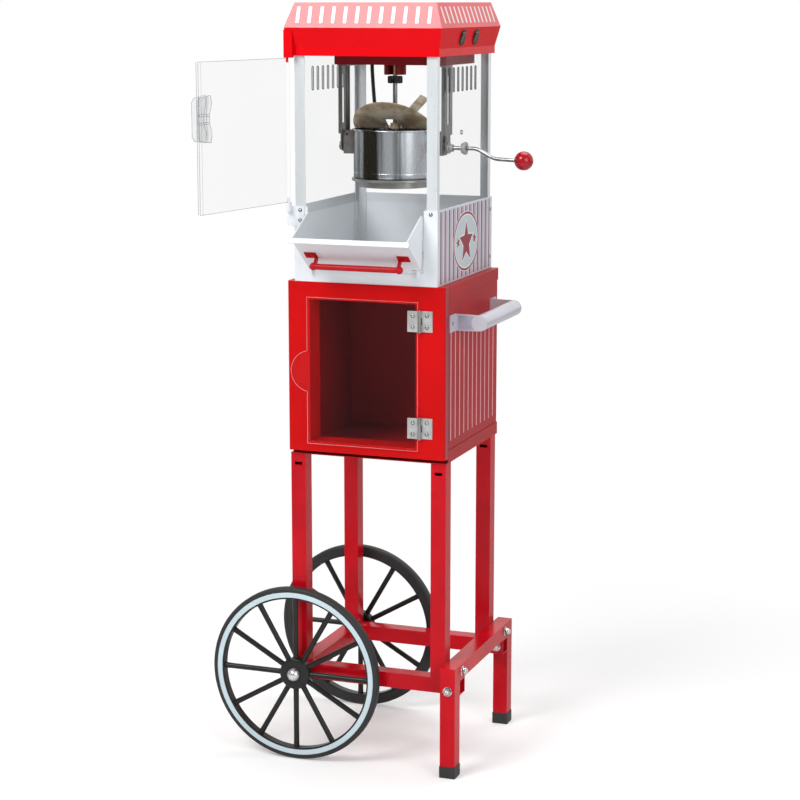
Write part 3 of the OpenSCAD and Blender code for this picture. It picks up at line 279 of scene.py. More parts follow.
def spin(bm, profile, matrix=None, steps=96):
    """Closed lathe about Z from (radius, height) points."""
    matrix = matrix or Matrix()
    rings = []
    for r, h in profile:
        if r < 1e-6:
            rings.append([bm.verts.new(matrix @ Vector((0, 0, h)))])
        else:
            rings.append([bm.verts.new(matrix @ Vector((r * math.cos(a), r * math.sin(a), h)))
                          for a in (2 * math.pi * i / steps for i in range(steps))])
    for a, b in zip(rings, rings[1:]):
        for i in range(steps):
            j = (i + 1) % steps
            quad = [a[i % len(a)], a[j % len(a)], b[j % len(b)], b[i % len(b)]]
            face = list(dict.fromkeys(quad))
            if len(face) > 2:
                bm.faces.new(face)


def ring_profile(points):
    """Profile closed on itself, for a lathed ring."""
    return list(points) + [points[0]]


def mirrored(points):
    """Profile points followed by their mirror image across height 0."""
    return list(points) + [(r, -h) for r, h in reversed(points)]


def arc(cx, cy, r, a0, a1, n=8):
    """Points of a circular arc between two angles in degrees."""
    return [(cx + r * math.cos(math.radians(a0 + (a1 - a0) * i / n)),
             cy + r * math.sin(math.radians(a0 + (a1 - a0) * i / n))) for i in range(n + 1)]


def aim(axis, at):
    """Matrix that carries +Z onto an axis at a point."""
    return Matrix.Translation(Vector(at)) @ Vector(axis).to_track_quat("Z", "Y").to_matrix().to_4x4()


def smooth_path(points, steps=10):
    """Catmull-Rom curve through the points."""
    pts = [Vector(p) for p in points]
    ext = [2 * pts[0] - pts[1]] + pts + [2 * pts[-1] - pts[-2]]
    out = []
    for i in range(1, len(ext) - 2):
        p0, p1, p2, p3 = ext[i - 1:i + 3]
        for k in range(steps):
            t = k / steps
            out.append(0.5 * ((2 * p1) + (p2 - p0) * t + (2 * p0 - 5 * p1 + 4 * p2 - p3) * t * t
                              + (3 * p1 - p0 - 3 * p2 + p3) * t ** 3))
    return out + [pts[-1]]


def rounded(points, radius, steps=6):
    """Polyline with its corners turned by an arc-like bend."""
    pts = [Vector(p) for p in points]
    out = [pts[0]]
    for a, b, c in zip(pts, pts[1:], pts[2:]):
        u, v = (a - b).normalized(), (c - b).normalized()
        start, end = b + u * radius, b + v * radius
        for k in range(steps + 1):
            t = k / steps
            out.append((1 - t) ** 2 * start + 2 * t * (1 - t) * b + t * t * end)
    return out + [pts[-1]]


def sweep(bm, path, radius, sides=20):
    """Round bar along a path, closed at both ends. The radius may be a list."""
    radii = radius if isinstance(radius, list) else [radius] * len(path)
    tangent = (path[1] - path[0]).normalized()
    up = tangent.orthogonal().normalized()
    rings = []
    for i, p in enumerate(path):
        t = (path[min(i + 1, len(path) - 1)] - path[max(i - 1, 0)]).normalized()
        up = (up - t * up.dot(t)).normalized()
        side = t.cross(up)
        rings.append([bm.verts.new(p + radii[i] * (math.cos(a) * up + math.sin(a) * side))
                      for a in (2 * math.pi * k / sides for k in range(sides))])
    for a, b in zip(rings, rings[1:]):
        for k in range(sides):
            bm.faces.new((a[k], a[(k + 1) % sides], b[(k + 1) % sides], b[k]))
    bm.faces.new(rings[0])
    bm.faces.new(rings[-1][::-1])


def plate(bm, outline, thick, matrix):
    """Flat plate from an outline in the local XY plane, thick along +Z."""
    low = [bm.verts.new(matrix @ Vector((x, y, 0))) for x, y in outline]
    high = [bm.verts.new(matrix @ Vector((x, y, thick))) for x, y in outline]
    bm.faces.new(low[::-1])
    bm.faces.new(high)
    for i in range(len(low)):
        j = (i + 1) % len(low)
        bm.faces.new((low[i], low[j], high[j], high[i]))


def rounded_rect(w, h, r, n=4):
    out = []
    for cx, cy, a in ((w / 2 - r, h / 2 - r, 0), (-w / 2 + r, h / 2 - r, 90),
                      (-w / 2 + r, -h / 2 + r, 180), (w / 2 - r, -h / 2 + r, 270)):
        out += arc(cx, cy, r, a, a + 90, n)
    return out


def frame_on(origin, u, v):
    """Matrix of a flat place: local X along u, local Y along v, Z outwards."""
    u, v = Vector(u).normalized(), Vector(v).normalized()
    w = u.cross(v).normalized()
    m = Matrix((u, v, w)).transposed().to_4x4()
    m.translation = Vector(origin)
    return m


def islands(node):
    """Boxes (low, high) in millimetres of the separate solids of a CAD node."""
    bm = bmesh.new()
    bm.from_mesh(NODES[node].data)
    bmesh.ops.remove_doubles(bm, verts=bm.verts, dist=1e-5)
    seen, boxes = set(), []
    for start in bm.verts:
        if start in seen:
            continue
        stack, group = [start], []
        seen.add(start)
        while stack:
            v = stack.pop()
            group.append(v.co.copy() / MM)
            for e in v.link_edges:
                o = e.other_vert(v)
                if o not in seen:
                    seen.add(o)
                    stack.append(o)
        boxes.append((Vector([min(p[i] for p in group) for i in range(3)]),
                      Vector([max(p[i] for p in group) for i in range(3)])))
    bm.free()
    return boxes


def keep(node, material, bevel=0.4, smooth=32):
    """A CAD node stays: welded, its facets merged, its edges eased, and given its finish."""
    obj = NODES[node]
    obj.data.materials.clear()
    obj.data.materials.append(M[material])
    obj.data.polygons.foreach_set("material_index", [0] * len(obj.data.polygons))
    weld = obj.modifiers.new("weld", "WELD")
    weld.merge_threshold = 1e-5
    flat = obj.modifiers.new("flats", "DECIMATE")
    flat.decimate_type = "DISSOLVE"
    flat.angle_limit = math.radians(0.6)
    ease_edges(obj, bevel, smooth)


# ---------------------------------------------------------------- measures, in millimetres
def box_mm(node):
    """Low and high corners of a CAD node."""
    low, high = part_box(node)
    return low / MM, high / MM


TOTAL = box_mm("roof_shell")[1].z
low, high = box_mm("wheel_front")
AXLE_X = (low.x + high.x) / 2
AXLE_Z = 144.5  # also the height of the bolts in the feet
CROSS_Z = 169.5  # middle of the cross rails
TRAY_Z, TOP_Z = 507.0, 787.0  # bottom and top of the cabinet
EAVE_Z = 1181.0
TILT_Z, RIM_Z, POT_Z = 992.0, 1021.0, 943.0  # tilt axis, rim and bottom of the kettle

# ---------------------------------------------------------------- kept nodes
# the cabinet's parts besides its front take the darker, pinker red of painted shade and reflection
for node, material, bevel in (
        ("legs", "red_frame", 1.6), ("rails", "red_frame", 1.6), ("feet", "red_frame", 1.6),
        ("foot_caps", "rubber", 2.2), ("axle", "zinc", 0.5), ("cabinet_tray", "red_cabinet_shaded", 0.4),
        ("cabinet_sides", "red_cabinet_shaded", 0.2), ("cabinet_back", "red_cabinet_shaded", 0.2),
        ("cabinet_front", "red_cabinet", 0.5), ("cabinet_top", "red_cabinet_shaded", 0.5),
        ("cabinet_door", "clear", 0.6), ("hinge_fixed_leaves", "leaf_grey", 0.4),
        ("hinge_door_leaves", "leaf_grey", 0.4), ("handle_brackets", "white_handle", 0.6),
        ("base_housing", "white_case", 0.5), ("side_panels", "panel_print", 0.3),
        ("popcorn_deck", "grey_sheet", 1.0), ("corner_posts", "white_post", 0.5),
        ("window_left", "clear", 0.2), ("window_right", "clear", 0.2), ("window_back", "clear", 0.2),
        ("popper_door", "clear", 0.6), ("door_latch", "clear_latch", 0.9),
        ("door_hinge_upper", "red_roof", 0.6), ("door_hinge_lower", "white_case", 0.5),
        ("flap", "white_case", 0.4), ("flap_handle", "handle_red", 0.4), ("flap_pin", "zinc", 0.3),
        ("roof_shell", "red_roof", 1.1), ("roof_deck", "grey_sheet", 0.3),
        ("motor_housing", "dark_red", 1.4), ("stir_motor", "motor_steel", 0.8),
        ("motor_pinion", "brass", 0.0), ("stir_gear", "gear_nylon", 0.0), ("shaft_bush", "brass", 0.3),
        ("coupling_knob", "knob_black", 0.3), ("stir_rod", "dark_chrome", 0.4),
        ("hanger_left", "hanger_steel", 0.4), ("hanger_right", "hanger_steel", 0.4),
        ("crank_bushes", "bush_white", 0.5), ("kettle_pivots", "bracket_steel", 0.6),
        ("kettle_heater", "heater_steel", 0.8), ("kettle_lid_rear", "lid_steel", 0.25),
        ("kettle_lid_front", "lid_steel", 0.25), ("switch_bodies", "switch_black", 0.6)):
    keep(node, material, bevel)


def second_finish(node, material, test):
    """Faces of a kept node that pass a test on their centre (mm) and normal take another finish."""
    data = NODES[node].data
    data.materials.append(M[material])
    for face in data.polygons:
        if test(face.center / MM, face.normal):
            face.material_index = 1


BARREL_X, BARREL_R = 92, 3.0  # hinge line of the lower door and the radius of its barrels
RETURN_X = 128  # the front pan's side returns lie outside this
# the fascia's paler, pinker red is a painted reflection of the white above, besides its glossier coat
second_finish("roof_shell", "fascia_red_sheen", lambda c, n: c.z > EAVE_Z + 1)
# the hinges' barrels take a darker steel: painted shade in the knuckles
for node in ("hinge_fixed_leaves", "hinge_door_leaves"):
    second_finish(node, "heater_steel", lambda c, n: abs(c.x - BARREL_X) < BARREL_R)
# the front pan's side returns take a darker, pinker copy of its red: painted shade and painted reflection
second_finish("cabinet_front", "red_return_shaded", lambda c, n: abs(n.x) > 0.9 and abs(c.x) > RETURN_X)


# ---------------------------------------------------------------- fasteners
def cross_head(radius, height):
    """Mesh of a pan head with a cross cut into its top; local +Z outwards, the seat at 0."""
    bm = bmesh.new()
    dome = [(radius, 0), (radius, height * 0.35)] + [
        (radius * math.cos(math.radians(a)), height * (0.35 + 0.65 * math.sin(math.radians(a))))
        for a in (18, 36, 54, 72)] + [(0, height)]
    spin(bm, [(0, 0)] + dome, steps=28)
    head = bpy.data.meshes.new("head_tmp")
    bm.to_mesh(head)
    bm.free()
    cut = bmesh.new()
    arm, half = radius * 0.56, radius * 0.13
    for turn in (0, 90):
        m = Matrix.Rotation(math.radians(turn), 4, "Z")
        block(cut, (-arm, -half, height * 0.38), (arm, half, height + 1), m)
    cutter = bpy.data.meshes.new("cut_tmp")
    cut.to_mesh(cutter)
    cut.free()
    a, b = bpy.data.objects.new("a_tmp", head), bpy.data.objects.new("b_tmp", cutter)
    for o in (a, b):
        bpy.context.scene.collection.objects.link(o)
    mod = a.modifiers.new("cut", "BOOLEAN")
    mod.object, mod.operation, mod.solver = b, "DIFFERENCE", "EXACT"
    mod.use_self = True
    bpy.context.view_layer.update()
    done = bpy.data.meshes.new_from_object(a.evaluated_get(bpy.context.evaluated_depsgraph_get()))
    for o in (a, b):
        bpy.data.objects.remove(o)
    return done


def add_mesh(bm, mesh, matrix):
    start = len(bm.verts)
    bm.from_mesh(mesh)
    bm.verts.ensure_lookup_table()
    bmesh.ops.transform(bm, matrix=matrix, verts=bm.verts[start:])


SCREW_HEAD = cross_head(2.4, 1.4)
# the dark rings under the screw heads are painted shade
SHADE_RING_R, SHADE_RING_LOW, SHADE_RING_HIGH = 3.25, 0.02, 0.14  # dark ring that the head sits in
SCREW_TURN, SCREW_STEP = 17, 41  # degrees, so that no two recesses line up


def screws(name, node, body):
    """A crossed head and a ring of painted shade under it at each separate screw of a CAD node, along its
    thinnest side.
    """
    bm, shade_rings = bmesh.new(), bmesh.new()
    for k, (low, high) in enumerate(islands(node)):
        size = high - low
        axis = min(range(3), key=lambda i: size[i])
        centre = (low + high) / 2
        outward = Vector((0, 0, 0))
        outward[axis] = -1 if axis == 1 or centre[axis] < 0 else 1
        seat = centre.copy()
        seat[axis] = high[axis] if outward[axis] < 0 else low[axis]
        turn = Matrix.Rotation(math.radians(SCREW_TURN + SCREW_STEP * k), 4, "Z")
        add_mesh(bm, SCREW_HEAD, aim(outward, seat) @ turn)
        spin(shade_rings, [(0, SHADE_RING_LOW), (SHADE_RING_R, SHADE_RING_LOW), (SHADE_RING_R, SHADE_RING_HIGH), (0, SHADE_RING_HIGH)],
             aim(outward, seat), 28)
    piece(name + "_seats", shade_rings, "painted_shade", body, smooth=40)
    piece(name, bm, "chrome", body, smooth=40, node=node)


screws("case_screw_heads", "case_screws", "stand_and_case")
screws("hinge_screw_heads", "hinge_door_screws", "lower_door")

BOLT_GRIP = 50  # through two tubes
BOLT_R, BOLT_HEAD_R, BOLT_HEAD_H = 3, 5.7, 3.6
NUT_R, NUT_H = 6.9, 3.2
DOME_BASE, DOME_H, DOME_TOP = 4, 5.6, 9.6  # past the grip


def dome_bolt(bm, matrix):
    """Pan head behind the origin, washer and acorn nut past the grip, along local +Z."""
    head = [(BOLT_HEAD_R * math.sin(math.radians(a)),
             -BOLT_HEAD_H * (0.3 + 0.7 * math.cos(math.radians(a)))) for a in (25, 50, 75, 90)]
    spin(bm, [(0, -BOLT_HEAD_H)] + head + [(BOLT_HEAD_R, 0), (0, 0)], matrix, 32)
    spin(bm, [(0, 0), (BOLT_R, 0), (BOLT_R, BOLT_GRIP), (0, BOLT_GRIP)], matrix, 20)
    spin(bm, [(0, BOLT_GRIP), (NUT_R * 1.13, BOLT_GRIP), (NUT_R * 1.15, BOLT_GRIP + 0.4),
              (NUT_R * 1.08, BOLT_GRIP + 1), (0, BOLT_GRIP + 1)], matrix, 40)
    flat = NUT_R * 0.985
    hexagon = [(flat * math.cos(math.radians(60 * i)), flat * math.sin(math.radians(60 * i)))
               for i in range(6)]
    plate(bm, hexagon, NUT_H, matrix @ Matrix.Translation((0, 0, BOLT_GRIP + 0.9)))
    r, base = NUT_R * 0.80, BOLT_GRIP + DOME_BASE
    dome = [(r * math.cos(math.radians(a)), base + DOME_H * math.sin(math.radians(a)))
            for a in (15, 30, 45, 60, 75)]
    spin(bm, [(r, base)] + dome + [(0, BOLT_GRIP + DOME_TOP)], matrix, 32)


bm = bmesh.new()
for y in (-115, 115):
    dome_bolt(bm, aim(X, (106.5, y, CROSS_Z)))
for y in (-102.5, 152.5):
    dome_bolt(bm, aim(-Y, (144, y, AXLE_Z)))
piece("acorn_nuts_and_bolts", bm, "chrome", "stand_and_case", smooth=38, node="frame_bolts")

# ---------------------------------------------------------------- wheels
WHEEL_Y = 145.5  # middle plane of each wheel
BORE_R = 5.06
SPOKE_COUNT = 12
SPOKE_R = {21: 4.85, 27: 4.6, 34: 4.45, 75: 4.35, 112: 4.45, 120: 4.6, 126: 4.85}  # by distance out
HUB = mirrored([(BORE_R, -8.4), (22.5, -8.4), (24.4, -7.8), (25.5, -6.6), (25.9, -5)])
RIM = mirrored(arc(126.5, -6.4, 1.0, 180, 270, 3) + [(127.4, -7.4)])
TYRE_HALF = 8.0
# rounded tread; the face is let down a little where the white ring lies
TREAD = mirrored([(127.6, 0.7 - TYRE_HALF), (127.9, 0.3 - TYRE_HALF), (128.2, 0.7 - TYRE_HALF),
                  (136.8, 0.7 - TYRE_HALF), (137.1, 0.2 - TYRE_HALF)]
                 + arc(140.2, 4.3 - TYRE_HALF, 4.2, 270, 360, 6))
# the white ring, as radius and depth below the tyre's outer face
WHITE_RING = ((128.3, 0.75), (128.5, 0.25), (129.0, 0.05), (136.0, 0.05), (136.5, 0.25), (136.7, 0.75))

for side, name in ((-1, "front"), (1, "back")):
    body = f"{name}_wheel"
    centre = Matrix.Translation((AXLE_X, side * WHEEL_Y, AXLE_Z))
    at = centre @ Matrix.Rotation(math.radians(-90), 4, "X")
    bm = bmesh.new()
    spin(bm, ring_profile(HUB), at)
    for i in range(SPOKE_COUNT):
        turn = Matrix.Rotation(math.radians(360 / SPOKE_COUNT * i), 4, "Y")
        sweep(bm, [centre @ turn @ Vector((d, 0, 0)) for d in SPOKE_R], list(SPOKE_R.values()), 16)
    spin(bm, ring_profile(RIM), at, 144)
    piece(f"wheel_{name}_spoked", bm, "wheel_black", body, node=f"wheel_{name}")

    bm = bmesh.new()
    spin(bm, ring_profile(TREAD), at, 160)
    piece(f"tyre_{name}_tread", bm, "tyre", body, node=f"tyre_{name}")

    bm = bmesh.new()
    spin(bm, ring_profile([(r, side * (TYRE_HALF - depth)) for r, depth in WHITE_RING]), at, 160)
    piece(f"whitewall_{name}", bm, "whitewall", body)


# ---------------------------------------------------------------- printed and pressed trim, and lines of painted shade
def stripes(name, places, width, length, material, thick=0.22):
    bm = bmesh.new()
    for m in places:
        plate(bm, rounded_rect(width, length, min(width, length) * 0.18, 2), thick, m)
    piece(name, bm, material, "stand_and_case", smooth=50)


# half sizes of the roof's top, and how far the fascia runs out and down from it
ROOF_X, ROOF_Y, FASCIA_OUT, FASCIA_DOWN = 116, 134, 13, 38


def on_fascia(side, along, t):
    """Place on the sloped fascia; t runs from its top edge, 0, to the eave, 1."""
    z = TOTAL - FASCIA_DOWN * t
    if side in ("front", "back"):
        s = -1 if side == "front" else 1
        return frame_on((along, s * (ROOF_Y + FASCIA_OUT * t), z), (-s, 0, 0),
                        (0, -s * FASCIA_OUT, FASCIA_DOWN))
    s = 1 if side == "right" else -1
    return frame_on((s * (ROOF_X + FASCIA_OUT * t), along, z), (0, s, 0),
                    (-s * FASCIA_OUT, 0, FASCIA_DOWN))


for side, count, pitch in (("front", 12, 19.55), ("back", 12, 19.55),
                           ("right", 13, 20.2), ("left", 13, 20.2)):
    places = [on_fascia(side, (i - (count - 1) / 2) * pitch, 0.49) for i in range(count)]
    stripes(f"fascia_stripes_{side}", places, 5.6, 26.5, "print_white")


def oval(a, b, n=72):
    return [(a * math.cos(2 * math.pi * i / n), b * math.sin(2 * math.pi * i / n)) for i in range(n)]


def star(outer, inner, turn=0.0):
    """Five-pointed star; turn leans it, in degrees."""
    radii = [outer if i % 2 == 0 else inner for i in range(10)]
    return [(r * math.sin(math.radians(36 * i + turn)), r * math.cos(math.radians(36 * i + turn)))
            for i, r in enumerate(radii)]


def ring_plate(bm, outer, inner, thick, matrix):
    """Flat frame between two outlines with the same number of points."""
    rows = [[bm.verts.new(matrix @ Vector((x, y, z))) for x, y in line]
            for line, z in ((outer, 0), (outer, thick), (inner, thick), (inner, 0))]
    for p, q in zip(rows, rows[1:] + rows[:1]):
        for i in range(len(p)):
            j = (i + 1) % len(p)
            bm.faces.new((p[i], p[j], q[j], q[i]))


def on_side(s, x, y, z):
    """Upright place facing outwards, x from the middle, on the right (s = 1) or left (s = -1)."""
    return frame_on((s * x, y, z), (0, s, 0), (0, 0, 1))


CABINET_X, PANEL_X = 130.8, 120  # outer faces of the cabinet's and the popper's sides
PANEL_Z, PANEL_H, PANEL_PITCH = 846, 112, 20.2
EMBLEM_Y, EMBLEM_Z, STAR_Z = 1, 845, 843
SIDE_STAR_Y, SIDE_STAR_Z, SIDE_STAR_LEAN = 41, 846, 14
SLOT_COUNT, SLOT_PITCH, SLOT_Z = 8, 21.5, 1101
SLOT_SHIFT = {1: -17, -1: 11}  # the rows of slots aren't centred: right, left
WINDOW_IN, WINDOW_OUT = 114.45, 116.05  # just past the faces of the panes
SLOT_WALL = 1.6
HOLE_Y, HOLE_Z = -10, 1018

for s, label in ((-1, "left"), (1, "right")):
    stripes(f"cabinet_stripes_{label}", [on_side(s, CABINET_X, -103 + 21.6 * i, 631.5) for i in range(11)],
            3.6, 181, "print_pink")
    stripes(f"panel_tints_{label}",
            [on_side(s, PANEL_X, -115.5 + PANEL_PITCH * i, PANEL_Z) for i in range(12)],
            9.5, PANEL_H, "print_lilac", 0.10)
    stripes(f"panel_stripes_{label}",
            [on_side(s, PANEL_X, -122.5 + PANEL_PITCH * i, PANEL_Z) for i in range(13)],
            3.4, PANEL_H, "print_maroon", 0.18)

    # emblem in thin layers, each lifted past the one below
    bm = bmesh.new()
    plate(bm, oval(64, 48), 0.10, on_side(s, PANEL_X + 0.18, EMBLEM_Y, EMBLEM_Z))
    piece(f"emblem_edge_{label}", bm, "print_white", "stand_and_case", smooth=50)
    bm = bmesh.new()
    ring_plate(bm, oval(62.5, 46.8), oval(59.0, 43.4), 0.10, on_side(s, PANEL_X + 0.29, EMBLEM_Y, EMBLEM_Z))
    piece(f"emblem_ring_{label}", bm, "print_red", "stand_and_case", smooth=50)
    bm = bmesh.new()
    plate(bm, oval(56.5, 41.2), 0.08, on_side(s, PANEL_X + 0.29, EMBLEM_Y, EMBLEM_Z))
    piece(f"emblem_field_{label}", bm, "print_field", "stand_and_case", smooth=50)
    for name, material, lift, large, small in (
            ("emblem_stars", "print_white", 0.38, (38, 17.5), (12, 5.2)),
            ("emblem_stars_red", "print_red", 0.47, (34, 14.8), (9.6, 4.0))):
        bm = bmesh.new()
        plate(bm, star(*large), 0.08, on_side(s, PANEL_X + lift, EMBLEM_Y, STAR_Z))
        for end in (-1, 1):
            plate(bm, star(*small, SIDE_STAR_LEAN * end), 0.08,
                  on_side(s, PANEL_X + lift, EMBLEM_Y + end * SIDE_STAR_Y, SIDE_STAR_Z))
        piece(f"{name}_{label}", bm, material, "stand_and_case", smooth=50)

    # cut walls of the vent slots and outlines of the small hole beside them, darkened with painted shade
    bm = bmesh.new()
    for i in range(SLOT_COUNT):
        y = SLOT_SHIFT[s] + (i - (SLOT_COUNT - 1) / 2) * SLOT_PITCH
        ring_plate(bm, rounded_rect(6.2, 38.2, 3.05), rounded_rect(5.5, 37.5, 2.7), SLOT_WALL,
                   on_side(s, WINDOW_IN, y, SLOT_Z))
    if s > 0:
        for x, way in ((WINDOW_OUT, 1), (WINDOW_IN, -1)):
            ring_plate(bm, oval(3.8, 3.8, 24), oval(2.0, 2.0, 24), 0.25,
                       frame_on((x, HOLE_Y, HOLE_Z), (0, way, 0), (0, 0, 1)))
    piece(f"slot_edges_{label}", bm, "slot_shade_line", "stand_and_case", smooth=50)

# painted shadow line behind the front pan of the cabinet
SHADOW_LINE_X = 130.9
bm = bmesh.new()
for s in (-1, 1):
    block(bm, (s * SHADOW_LINE_X - 0.25, -116.6, TRAY_Z + 12), (s * SHADOW_LINE_X + 0.25, -113.2, TOP_Z - 3))
piece("cabinet_shadow_lines", bm, "painted_shade", "stand_and_case", smooth=50)

# two rivets at the front of each side of the cap
RIVET = [(0, 0), (2.0, 0), (1.7, 0.5), (0.9, 0.85), (0, 0.95)]
bm = bmesh.new()
low, high = box_mm("cabinet_top")
for s, face in ((-1, low.x), (1, high.x)):
    for y in (low.y + 12, low.y + 20):
        spin(bm, RIVET, aim((s, 0, 0), (face - s * 0.9, y, low.z + 6)), 20)
piece("cap_rivets", bm, "red_cabinet_shaded", "stand_and_case", smooth=50)

# ---------------------------------------------------------------- push handle
GRIP_X, GRIP_Y, GRIP_Z = 172, 5, 727
bm = bmesh.new()
tube = mirrored([(10.5, -90), (11.4, -89.8), (12.2, -89.2), (12.5, -88)])
spin(bm, ring_profile(tube), aim(Y, (GRIP_X, GRIP_Y, GRIP_Z)), 64)
piece("grip_tube", bm, "white_handle", "stand_and_case", node="handle_grip")

# the brackets' outer faces are pressed in between the flange and the end of the tube; the darker plate there
# is painted shade of that pressed-in face
PRESS_R, PRESS_X = 13.2, 136.5
bm = bmesh.new()
for y, way in ((-87.0, -1), (97.0, 1)):
    edge = [(GRIP_X + PRESS_R * math.cos(math.radians(t)), GRIP_Z + PRESS_R * math.sin(math.radians(t)))
            for t in range(124, 238, 8)]
    line = [(PRESS_X, GRIP_Z + 11)] + edge + [(PRESS_X, GRIP_Z - 11)]
    plate(bm, [(-way * x, z) for x, z in line], 0.12, frame_on((0, y, 0), (-way, 0, 0), (0, 0, 1)))
piece("bracket_panels", bm, "lilac_painted_shade", "stand_and_case", smooth=50)

# ---------------------------------------------------------------- kettle
POT_R = 66.5
bm = bmesh.new()
outside = [(0, POT_Z), (62, POT_Z)] + arc(62.3, POT_Z + 4.2, 4.2, 270, 360, 6) + [
    (POT_R, POT_Z + 8), (POT_R, POT_Z + 9.2), (POT_R - 0.3, POT_Z + 10), (POT_R, POT_Z + 10.8),
    (POT_R, RIM_Z - 3.4)]
lip = arc(68.0, RIM_Z - 1.3, 1.3, 200, 360, 8) + arc(68.0, RIM_Z - 1.3, 1.3, 0, 90, 5)
inside = [(66.4, RIM_Z - 0.1), (65.6, RIM_Z - 1.2), (65.5, POT_Z + 5)] \
    + arc(62.0, POT_Z + 5, 3.5, 0, -90, 5) + [(0, POT_Z + 1.5)]
spin(bm, outside + lip + inside, steps=128)
# the bowl's dark vertical streaks are painted reflections
piece("kettle_bowl", bm, "kettle_steel", "kettle", node="kettle_pot")

# dark discs of painted shade where the kettle's brackets have their holes
bm = bmesh.new()
for x in (-78, 78):
    spin(bm, [(0, -0.02), (2.3, -0.02), (2.3, 0.08), (0, 0.08)], aim(-Y, (x, -12, TILT_Z + 19)), 24)
piece("bracket_hole_shades", bm, "painted_shade", "kettle", smooth=50)
bm = bmesh.new()
rolled = [(66.0, RIM_Z - 0.05)] + arc(67.9, RIM_Z - 1.2, 1.25, 100, -60, 8) + [(66.6, RIM_Z - 2.4)]
spin(bm, ring_profile(rolled), steps=128)
piece("kettle_rolled_rim", bm, "kettle_rim", "kettle", smooth=50)

CRANK_R, BALL_R, BALL_X = 3.0, 15, 7  # the ball's middle lies past the end of the crank
knee, end = Vector((170, -8, 977)), Vector((211, -10, 975.5))
bm = bmesh.new()
sweep(bm, rounded([(79, 0, TILT_Z), (137, 0, TILT_Z), knee, end], 7), CRANK_R, 24)
piece("crank_bar", bm, "dark_chrome", "kettle", node="crank_rod")
bm = bmesh.new()
ball = [(BALL_R * math.sin(math.radians(a)), -BALL_R * math.cos(math.radians(a)))
        for a in range(12, 180, 8)]
spin(bm, [(0, -BALL_R)] + ball + [(0, BALL_R)],
     aim((end - knee).normalized(), end + Vector((BALL_X, 0, 0))), 64)
piece("crank_ball_grip", bm, "ball_red", "kettle", node="crank_ball")

# lead from the motor housing down behind the pot to the heater, by the route of the CAD tube
LEAD_R = 3.0
route = [(-58, 50, 1121.8), (-58, 50, 1111.8), (-58, 56, TILT_Z + 85), (-57, 62, TILT_Z + 50),
         (-55, 68, TILT_Z + 20), (-52, 74, TILT_Z - 10), (-46, 79, TILT_Z - 34), (-36, 82, TILT_Z - 50),
         (-28, 80, TILT_Z - 56), (-24, 75, TILT_Z - 56.5), (-24, 70.5, TILT_Z - 56.5)]
bm = bmesh.new()
sweep(bm, smooth_path(route, 6), LEAD_R, 16)
lead = solid("kettle_lead_whole", bm, "lead_black")
lead.data.shade_smooth()
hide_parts("kettle_lead")
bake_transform(lead)

# ---------------------------------------------------------------- switches and gland
BAND_TILT = math.atan(7 / 31)  # lean of the roof band that holds the switches
ROCKER_REST = math.radians(8)
CAP = [(0, -2.5), (9.0, -2.5), (9.5, -2.0), (9.5, 1.6), (9.1, 2.3), (8.2, 2.5), (5, 2.15), (0, 2.0)]
ROCKER_PIN = [(0, -11.5), (1.5, -11.5), (1.5, 11.5), (0, 11.5)]
for y, name in ((-39, "front"), (26, "back")):
    bm = bmesh.new()
    m = Matrix.Translation((125.5, y, 1165.5)) @ Matrix.Rotation(BAND_TILT + ROCKER_REST, 4, "Y")
    spin(bm, CAP, m @ Matrix.Rotation(math.radians(90), 4, "Y"), 48)
    spin(bm, ROCKER_PIN, m @ Matrix.Rotation(math.radians(-90), 4, "X"), 20)
    piece(f"rocker_{name}_cap", bm, "rocker_amber", f"{name}_rocker", node=f"rocker_{name}")

# ribbed strain relief, as radius and distance out
GLAND = [(2.0, 0), (4.0, 0), (4.0, 4.6), (5.0, 4.8), (5.0, 6.4), (4.0, 6.6), (4.0, 8.5), (3.4, 9),
         (4.0, 9.5), (3.4, 10.5), (3.9, 11.2), (3.3, 12), (3.6, 13), (3.2, 14.4), (2.0, 14.6)]
bm = bmesh.new()
low, high = box_mm("cord_gland")
spin(bm, ring_profile(GLAND), aim(Y, (0, 133.4, (low.z + high.z) / 2)), 32)
piece("gland_ribbed", bm, "lead_black", "stand_and_case", node="cord_gland")

# ---------------------------------------------------------------- clear edges, with painted shade and glint
DOOR_W, DOOR_LOW, DOOR_HIGH, DOOR_T = 246, 911.4, 1134.7, 2.0
swing = Matrix.Translation((-126, -141.5, 0)) @ Matrix.Rotation(math.radians(-99), 4, "Z")
tip, top, bottom = DOOR_W - 0.6, DOOR_HIGH - 0.6, DOOR_LOW + 0.6
# lines of painted shade along the edges of the glass door
bm = bmesh.new()
for low, high in (
        ((tip, -DOOR_T, bottom), (DOOR_W - 0.1, 0.6 - DOOR_T, top)),
        ((tip, DOOR_T - 0.6, bottom), (DOOR_W - 0.1, DOOR_T, top)),
        ((DOOR_W - 7.4, DOOR_T - 0.3, bottom), (DOOR_W - 7.0, DOOR_T - 0.02, top)),
        ((3, DOOR_T - 0.7, DOOR_LOW + 0.1), (tip, DOOR_T - 0.1, DOOR_LOW + 0.7)),
        ((3, DOOR_T - 0.7, DOOR_HIGH - 0.7), (tip, DOOR_T - 0.1, DOOR_HIGH - 0.1))):
    block(bm, low, high, swing)
piece("popper_door_edges", bm, "clear_edge_shade", "glass_door", smooth=50, bevel=0.12)


def wires(name, lines, material, body, matrix, radius):
    """Thin round lines along polylines: painted shade and glint on the rims and moulded edges of clear
    pieces.
    """
    bm = bmesh.new()
    for line in lines:
        sweep(bm, [matrix @ Vector(q) for q in line], radius, 6)
    piece(name, bm, material, body, smooth=60)


